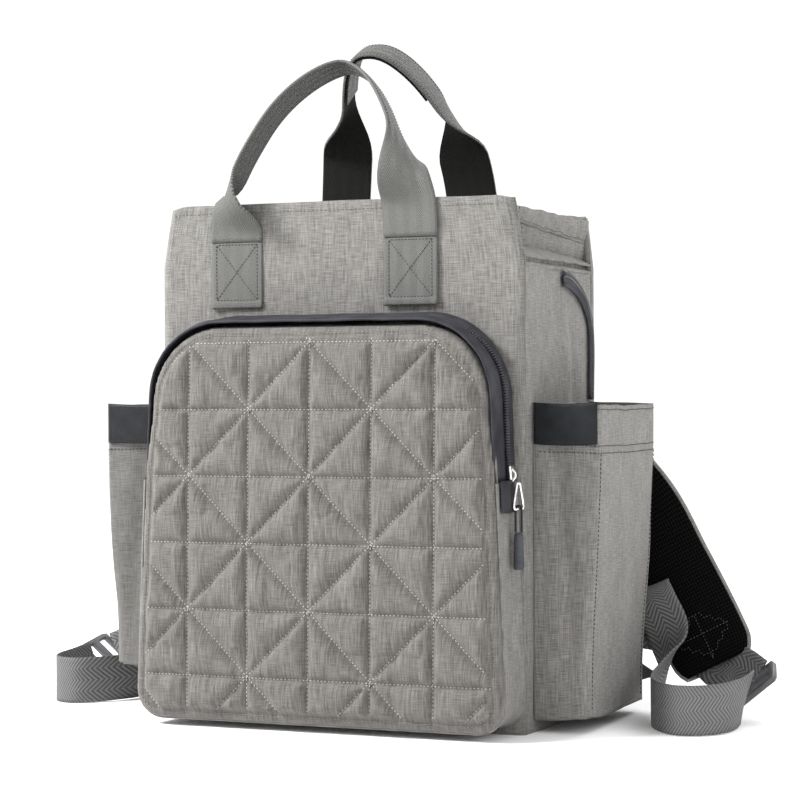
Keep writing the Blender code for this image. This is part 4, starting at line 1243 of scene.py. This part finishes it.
def make_pocket_floor(side, sign):
    """The side pocket's floor, which sags a little between the wall's foot seams."""

    def place(u, v):
        front = Vector(side_pocket_plan(0.4995 * u, 0.0))
        back = Vector(side_pocket_plan(1 - 0.4995 * u, 0.0))
        x, y = front.lerp(back, v)
        inward = 0.0016
        x -= inward * ease((x - HALF - 0.03) / 0.01)
        y -= inward * (2 * v - 1)
        sag = 0.0030 * math.sin(math.pi * v) * math.sin(math.pi * min(u * 1.1, 1))
        if sign < 0:
            x = HALF + (x - HALF) * 1.24
            sag = sag * 0.5 - LEFT_POCKET_LIFT
        return Vector((sign * x, y, SIDE_POCKET_LOW + 0.0026 - sag))

    cloth(f"side_pocket_floor_{side}", (16, 40), place, (0.045, 0.145), 0.0016, [LINEN, LINEN_INNER_SHADED], "bag",
          [f"side_pocket_base_{side}"], 0)


def make_grained_band(side, sign):
    """The dark band: a padded strip with turned edges and a row of dark stitches inside them."""
    low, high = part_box(f"side_pocket_band_{side}")
    widening = 0.003 if sign > 0 else 0.010

    def place(u, v):
        x = between(low.x, high.x, u)
        z = between(low.z, high.z, v) - 0.0010 * math.sin(math.pi * u)
        edge = max(abs(2 * u - 1) ** 14, abs(2 * v - 1) ** 12)
        bow = 0.0012 * math.sin(math.pi * u)
        x += sign * widening * (u if sign > 0 else 1 - u)
        return Vector((x, low.y - bow + 0.0011 * edge + 0.0002 * ruffle(x * 90, z * 90, 0), z))

    cloth(f"grained_band_{side}", (36, 28), place, (high.x - low.x, high.z - low.z), 0.0024, [BAND], "bag",
          [f"side_pocket_band_{side}"])
    proud = (0, -0.0002, 0)
    lines = [traced(place, (0.03, v), (0.97, v), 20, proud) for v in (0.07, 0.93)]
    lines += [traced(place, (u, 0.07), (u, 0.93), 16, proud) for u in (0.05, 0.95)]
    sew(f"grained_band_stitches_{side}", lines, BAND_STITCH, THREAD_DARK, "bag")


# ---------------------------------------------------------------- handles
def handle_line(side, half, rise, lean, squareness, twists):
    """The handle's middle line, the way its width runs, its width, and how far it is gathered."""
    middle_y = side * (abs(FRONT) + 0.0006 + 0.0013)
    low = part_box("front_handle_patch_right")[1].z + 0.0003
    tilt = math.atan2(lean, rise)
    leaning = Vector((0, math.cos(tilt), side * math.sin(tilt)))
    rows = [(Vector((HANDLE_CENTRE - half, middle_y, low)), Vector((1, 0, 0)), HANDLE_WIDTH, 0.0)]
    steps = 78
    for i in range(steps + 1):
        turn = math.pi * i / steps
        rising = math.sin(turn)
        run = -math.copysign(abs(math.cos(turn)) ** squareness, math.cos(turn))
        z = low + 0.004 + (rise - 0.004) * rising
        start, length = twists[0] if turn < math.pi / 2 else twists[1]
        share = ease((rising - start) / length)
        twist = share * math.pi / 2
        wide = HANDLE_WIDTH + (GRIP_WIDTH - HANDLE_WIDTH) * share
        standing_off = wide / 2 * math.sin(twist) * (1 - ease((z - FRONT_HIGH.z) / 0.060))
        y = middle_y - side * lean * rising**3 + side * standing_off
        point = Vector((HANDLE_CENTRE + half * run, y, z))
        flat = math.copysign(math.cos(twist), math.cos(turn))
        width = Vector((flat, 0, 0)) + side * leaning * math.sin(twist)
        rows.append((point, width, wide, share))
    rows.append((Vector((HANDLE_CENTRE + half, middle_y, low)), Vector((-1, 0, 0)), HANDLE_WIDTH, 0.0))
    return rows


def make_handle(name, side, half, rise, lean, squareness, twists, materials):
    """Webbing that stands up flat from two sewn patches and is gathered and stitched for the grip."""
    rows = handle_line(side, half, rise, lean, squareness, twists)
    points = [row[0] for row in rows]
    frames = []
    for i, (_, width, _, _) in enumerate(rows):
        ahead = heading(points, i)
        across = (width - width.project(ahead)).normalized()
        frames.append((across, across.cross(ahead) * -side))

    def on_row(i, c, lift):
        """A place on row i: c runs from edge to edge, and lift stands off the webbing's outer face."""
        across, out = frames[i]
        return points[i] + across * (c * rows[i][2] / 2) + out * lift

    def place(u, v):
        i = nearest(rows, v)
        c = side * (1 - 2 * u)
        share = rows[i][3]
        cup = (0.0180 * share * (1 - share) + 0.0012 * share) * (1 - c * c)
        return on_row(i, c, cup)

    def inner_place(u, v):
        i = nearest(rows, 0.30 + 0.40 * v)
        return on_row(i, side * (1 - 2 * u) * 0.93, -(0.0022 + 0.0006 * rows[i][3]))

    length = path_length(points)
    cloth(f"{name}_webbing", (18, len(rows) - 1), place, (HANDLE_WIDTH, length), 0.0019, materials, name,
          [name], 0)
    if side > 0:
        cloth(f"{name}_grip_layer", (14, 32), inner_place, (GRIP_WIDTH, length * 0.4), 0.0014,
              materials[::-1], name, (), 0)
    gathered = [i for i, row in enumerate(rows) if row[3] > 0.6]
    lines = []
    for c in (0.84, -0.84):
        lines.append([on_row(i, c, 0.0014 + 0.0008 * rows[i][3] * (1 - c * c)) for i in gathered])
    sew(f"{name}_grip_stitches", lines, GRIP_STITCH, THREAD_DARK, name)
    for patch_side, _ in SIDES:
        make_patch(f"{name}_patch_{patch_side}", side)


def make_patch(node, side):
    """A webbing patch with its end turned under, sewn down with a box and a cross in dark thread."""
    low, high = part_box(node)
    face = low.y if side < 0 else high.y

    def place(u, v):
        x = between(low.x, high.x, u if side < 0 else 1 - u)
        rim = abs(2 * u - 1) ** 10
        fold = 0.0011 * ease((0.115 - v) / 0.02) * (1 - ease((0.018 - v) / 0.018) * 0.6)
        proud = fold - 0.0007 * rim + 0.0003 * math.sin(math.pi * v)
        return Vector((x, face + side * proud, between(low.z, high.z, v)))

    size = (high.x - low.x, high.z - low.z)
    cloth(f"{node}_webbing", (24, 40), place, size, 0.0018, [WEBBING_LIGHT], "bag", [node])
    foot_left, foot_right, top_left, top_right = (0.10, 0.13), (0.90, 0.13), (0.10, 0.965), (0.90, 0.965)
    seams = [(foot_left, foot_right), (foot_right, top_right), (top_right, top_left), (top_left, foot_left),
             (foot_left, top_right), (top_left, foot_right)]
    lines = [traced(place, start, end, 16, (0, side * 0.0002, 0)) for start, end in seams]
    sew(f"{node}_cross_stitch", lines, PATCH_STITCH, THREAD_DARK, "bag")


# ---------------------------------------------------------------- back and straps
def cushion(low, high, foot, roll, dress):
    """A padded rectangle over a box, which rises from its edges; dress gives its swell and its slack."""
    wide, tall = high.x - low.x, high.z - low.z

    def place(u, v):
        x, z = high.x - wide * u, low.z + tall * v
        edge = min((0.5 - abs(u - 0.5)) * wide, (0.5 - abs(v - 0.5)) * tall)
        share, slack = dress(x, z)
        swell = (1 - (1 - min(edge / roll, 1)) ** 2.2) * share
        return Vector((x, low.y + foot + (high.y - low.y - foot) * swell + slack, z))

    return place


def make_back():
    """The mesh back pad with its sewn channels, the yoke, and the triangular webbing tabs."""

    def pad_dress(x, z):
        channel = min(abs(abs(x) - 0.034), abs(z - 0.155) if abs(x) > 0.034 else 1)
        return 1 - 0.55 * math.exp(-((channel / 0.006) ** 2)), 0.0

    def yoke_dress(x, z):
        return 1.0, 0.0004 * ruffle(x * 40, z * 40, 0)

    low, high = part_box("back_mesh_pad")
    place = cushion(low, high, 0.0015, 0.020, pad_dress)
    pad = cloth("back_pad_mesh", (90, 90), place, (high.x - low.x, high.z - low.z), 0.0014, [AIR_MESH], "bag",
                ["back_mesh_pad"])
    border = [Vector((x, low.y + 0.0022, z)) for x, z in rounded_box(low.x, low.z, high.x, high.z, 0.006)]
    tube("back_pad_binding", border, 0.0022, [ZIP_TAPE], "bag", (), closed=True)
    low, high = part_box("strap_yoke")
    place = cushion(low, high, 0.0012, 0.010, yoke_dress)
    size = (high.x - low.x, high.z - low.z)
    yoke = cloth("yoke_cloth", (80, 20), place, size, 0.0014, [LINEN], "bag", ["strap_yoke"])
    lines = [traced(place, (0.02, v), (0.98, v), 60, (0, 0.0003, 0)) for v in (0.10, 0.90)]
    sew("yoke_stitches", lines, HEM_STITCH, THREAD_GREY, "bag")
    for side, sign in SIDES:
        node = f"strap_anchor_{side}"
        low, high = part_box(node)

        def tab_place(u, v):
            share = u if sign > 0 else 1 - u
            z = between(0.012 + 0.016 * share, 0.062 - 0.032 * share, v)
            return Vector((between(low.x, high.x, u), low.y + 0.0007, z))

        cloth(f"{node}_webbing", (18, 16), tab_place, (0.052, 0.050), 0.0026, [WEBBING_LIGHT], "bag",
              [node])


def rounded_box(x1, z1, x2, z2, radius):
    points = []
    for x, z, start in ((x2 - radius, z2 - radius, 0), (x1 + radius, z2 - radius, 90),
                        (x1 + radius, z1 + radius, 180), (x2 - radius, z1 + radius, 270)):
        points += arc((x, z), radius, start, start + 90, 6)
    return [*points, points[0]]


def make_straps():
    """Padded straps with a mesh inner face and bound edges, ending in a lock and the loose webbing."""
    for side, sign in SIDES:
        body = f"strap_{side}"
        route = smooth_line(mirrored(STRAP_ROUTE, sign), 8)
        rows = []
        for i, point in enumerate(route):
            ahead = heading(route, i)
            across = (Vector((1, 0, 0)) - ahead * ahead.x).normalized()
            rows.append((point, across, across.cross(ahead).normalized()))

        def on_strap(u, v, inset, lift):
            """A place on the strap, its width drawn in towards its rounded end."""
            point, across, out = rows[nearest(rows, v)]
            end = ease((1 - v) / 0.06)
            half = (STRAP_WIDTH / 2 - inset) * (0.80 + 0.20 * math.sqrt(max(1 - (1 - end) ** 2, 0)))
            return point + across * ((2 * u - 1) * half) + out * lift

        def outer(u, v):
            swell = 0.0068 * (1 - abs(2 * u - 1) ** 3.2) * min(1, (1 - v) / 0.05 + 0.35)
            return on_strap(u, v, 0.001, 0.0021 + swell + 0.0010 * ruffle(u * 3, v * 24, 0, 3) - 0.0010)

        def inner(u, v):
            return on_strap(u, v, 0.002, -0.0046 - 0.0014 * (1 - abs(2 * u - 1) ** 4))

        def along(place, u, lift):
            """A line down the strap at one place across it, lifted off by the strap's own way out."""
            return [place(u, i / (len(rows) - 1)) + row[2] * lift for i, row in enumerate(rows)]

        size = (STRAP_WIDTH, path_length(route))
        pad = cloth(f"strap_pad_{side}", (26, len(rows) - 1), outer, size, 0.0022, [LINEN], body,
                    [f"shoulder_strap_{side}"], 0)
        lines = [along(outer, u, 0.0012) for u in (0.08, 0.92)]
        sew(f"strap_pad_{side}_stitches", lines, HEM_STITCH, THREAD_GREY, body)
        cloth(f"strap_air_mesh_{side}", (22, len(rows) - 1), inner, size, 0.0012, [AIR_MESH], body,
              [f"strap_mesh_{side}"], 0)
        for edge, u in (("inside", 0.0), ("outside", 1.0)):
            tube(f"strap_binding_{edge}_{side}", along(inner, u, 0.0022), 0.0026, [LINEN], body)
        make_strap_end(side, sign, body, inner, rows)
        make_lock(side, sign, body)
        make_webbing(side, sign)


def make_strap_end(side, sign, body, inner, rows):
    """The cross-stitched diamond near the strap's end and the webbing loop that holds the lock."""
    middle = 0.925
    spots = {"a": (0.5, middle - 0.055), "b": (0.86, middle), "c": (0.5, middle + 0.055), "d": (0.14, middle)}

    def stitch_place(u, v):
        return inner(u, v) - rows[nearest(rows, v)][2] * 0.0024

    ends = ("ab", "bc", "cd", "da", "ac", "bd")
    lines = [traced(stitch_place, spots[start], spots[end], 14) for start, end in ends]
    sew(f"strap_diamond_stitch_{side}", lines, GRIP_STITCH, THREAD_GREY, body)
    point, across, out = rows[-1]
    low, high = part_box(f"strap_lock_{side}")
    start = point - out * 0.001
    end = (low + high) / 2 + Vector((0, 0.010, 0.006))
    bend = (start + end) / 2 + Vector((0, 0.003, 0.004))
    line = smooth_line([rows[-4][0] - rows[-4][2] * 0.001, start, bend, end], 6)
    wide = Vector((sign * LOCK_WIDE[0], *LOCK_WIDE[1:]))
    wide = wide if across.dot(wide) > 0 else -wide

    def place(u, v):
        i = nearest(line, v)
        way = across.lerp(wide, ease(i / (len(line) - 1))).normalized()
        ahead = heading(line, i)
        way = (way - ahead * way.dot(ahead)).normalized()
        return line[i] + way * ((u - 0.5) * 0.036)

    cloth(f"lock_loop_{side}", (10, len(line) - 1), place, (0.036, path_length(line)), 0.0015,
          [WEBBING_HERRINGBONE], body, (), 0)


def make_lock(side, sign, body):
    """A moulded ladder lock: a rounded frame with a bar between two slots."""
    node = f"strap_lock_{side}"
    low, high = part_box(node)
    wide_way = Vector((sign * LOCK_WIDE[0], *LOCK_WIDE[1:])).normalized()
    tall_way = Vector((sign * LOCK_TALL[0], *LOCK_TALL[1:]))
    tall_way = (tall_way - tall_way.project(wide_way)).normalized()
    turn = Matrix((wide_way, tall_way, wide_way.cross(tall_way))).transposed().to_4x4()
    shape = bmesh.new()
    wide, tall, thick = LOCK
    bmesh.ops.create_grid(shape, x_segments=3, y_segments=5, size=0.5)
    middles = [(face, face.calc_center_median()) for face in shape.faces]
    slots = [face for face, middle in middles if abs(middle.x) < 0.1 and 0.1 < abs(middle.y) < 0.3]
    bmesh.ops.delete(shape, geom=slots, context="FACES")
    columns = (-0.5, -0.4, 0.4, 0.5)
    bars = (-0.5, -0.36, -0.11, 0.11, 0.36, 0.5)
    for vert in shape.verts:
        vert.co.x = columns[round((vert.co.x + 0.5) * 3)] * wide
        vert.co.y = bars[round((vert.co.y + 0.5) * 5)] * tall
        if abs(vert.co.x) > wide * 0.45 and abs(vert.co.y) > tall * 0.45:
            vert.co.x *= 0.93
    bmesh.ops.solidify(shape, geom=shape.faces[:], thickness=thick * 0.82)
    bmesh.ops.translate(shape, vec=(0, 0, thick * 0.41), verts=shape.verts)
    bmesh.ops.recalc_face_normals(shape, faces=shape.faces)
    round_edges(shape, [edge for edge in shape.edges if edge.calc_face_angle(0) > 0.6], 0.0011)
    bmesh.ops.transform(shape, matrix=Matrix.Translation((low + high) / 2) @ turn, verts=shape.verts)
    add_piece(f"ladder_lock_{side}", shape, [PLASTIC], body, [node])


def make_webbing(side, sign):
    """Slack strap webbing, from the lock round on the floor and back up to its tab at the bag's corner."""
    route = smooth_line(mirrored([point for point, _ in WEBBING_ROUTE], sign), 8)
    ways = smooth_line(mirrored([way for _, way in WEBBING_ROUTE], sign), 8)
    across = [(way - way.project(heading(route, i))).normalized() for i, way in enumerate(ways)]

    def place(u, v):
        i = nearest(route, v)
        return route[i] + across[i] * ((u - 0.5) * STRAP_WEBBING)

    shape = cloth_shape((12, len(route) - 1), place, (STRAP_WEBBING, path_length(route)))
    piece = add_piece(f"adjusting_webbing_{side}", shape, [WEBBING_HERRINGBONE], None,
                      [f"strap_webbing_{side}"])
    apply_modifier(piece, thicken(piece, 0.0016, 0))
    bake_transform(piece)
    tuple(route[0])
    path_length(route)
    [tuple(point) for point in route]


# ---------------------------------------------------------------- inside
def make_inside():
    """Base, lining tub, slip pocket and base board, which show when the top is open."""
    low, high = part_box("base_panel")

    def base_place(u, v):
        return Vector((between(low.x, high.x, u), between(low.y, high.y, v), high.z))

    size = (high.x - low.x, high.y - low.y)
    cloth("base_cloth", (20, 12), base_place, size, high.z - low.z, [LINEN], "bag", ["base_panel"])
    make_lining_tub()
    pocket_low, pocket_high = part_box("inner_pocket")

    def slip_place(u, v):
        x = between(pocket_low.x, pocket_high.x, u)
        z = between(pocket_low.z, pocket_high.z, v)
        slack = 0.005 * math.sin(math.pi * u) * v**2 + 0.0012 * ruffle(x * 20, z * 14, 0)
        return Vector((x, pocket_low.y - 0.0045 - slack, z))

    size = (pocket_high.x - pocket_low.x, pocket_high.z - pocket_low.z)
    cloth("slip_pocket", (40, 24), slip_place, size, 0.0009, [LINING], "bag",
          ["inner_pocket"])
    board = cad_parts["base_board"]
    board.data.materials.clear()
    board.data.materials.append(BOARD)


def make_lining_tub():
    """A thin tub of lining cloth, open at the top, with soft corners and slack walls."""
    low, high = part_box("lining")
    shape = bmesh.new()
    bmesh.ops.create_cube(shape, size=1, matrix=Matrix.Diagonal((*(high - low), 1)))
    bmesh.ops.delete(shape, geom=[face for face in shape.faces if face.normal.z > 0.5], context="FACES")
    uprights = [edge for edge in shape.edges if abs(edge.verts[0].co.z - edge.verts[1].co.z) > 0.1]
    round_edges(shape, uprights, 0.012, 4)
    bmesh.ops.subdivide_edges(shape, edges=shape.edges[:], cuts=7, use_grid_fill=True)
    weave = shape.loops.layers.uv.new("weave")
    for face in shape.faces:
        for loop in face.loops:
            loop[weave].uv = (loop.vert.co.x + loop.vert.co.y, loop.vert.co.z)
    for vert in shape.verts:
        inward = 0.0022 + 0.0018 * ruffle(vert.co.x * 14, vert.co.y * 14, vert.co.z * 9, 2)
        vert.co.x -= math.copysign(inward, vert.co.x) * (abs(vert.co.x) > 0.12)
        vert.co.y -= math.copysign(inward, vert.co.y) * (abs(vert.co.y) > 0.06)
    bmesh.ops.translate(shape, vec=(low + high) / 2, verts=shape.verts)
    bmesh.ops.recalc_face_normals(shape, faces=shape.faces)
    thicken(add_piece("lining_tub", shape, [LINING], "bag", ["lining"]), 0.0008)


set_stage()
make_straps()
make_front_pull()
make_body_panel("front_cloth", "front_panel", FRONT, -1, 0.0034)
make_body_panel("back_cloth", "back_panel", BACK, 1, 0.0060)
make_wing_layers()
make_sides()
make_roof()
make_quilted_face()
make_quilt_threads()
make_pocket_zip()
make_side_pockets()
make_handle("front_handle", -1, 0.075, 0.141, 0.044, 1.2, FRONT_TWISTS, [WEBBING_LIGHT, WEBBING_INNER_SHEEN])
make_handle("rear_handle", 1, 0.060, 0.162, 0.080, 0.9, REAR_TWISTS, [WEBBING_LIGHT, WEBBING_INNER_SHADED])
make_back()
make_inside()
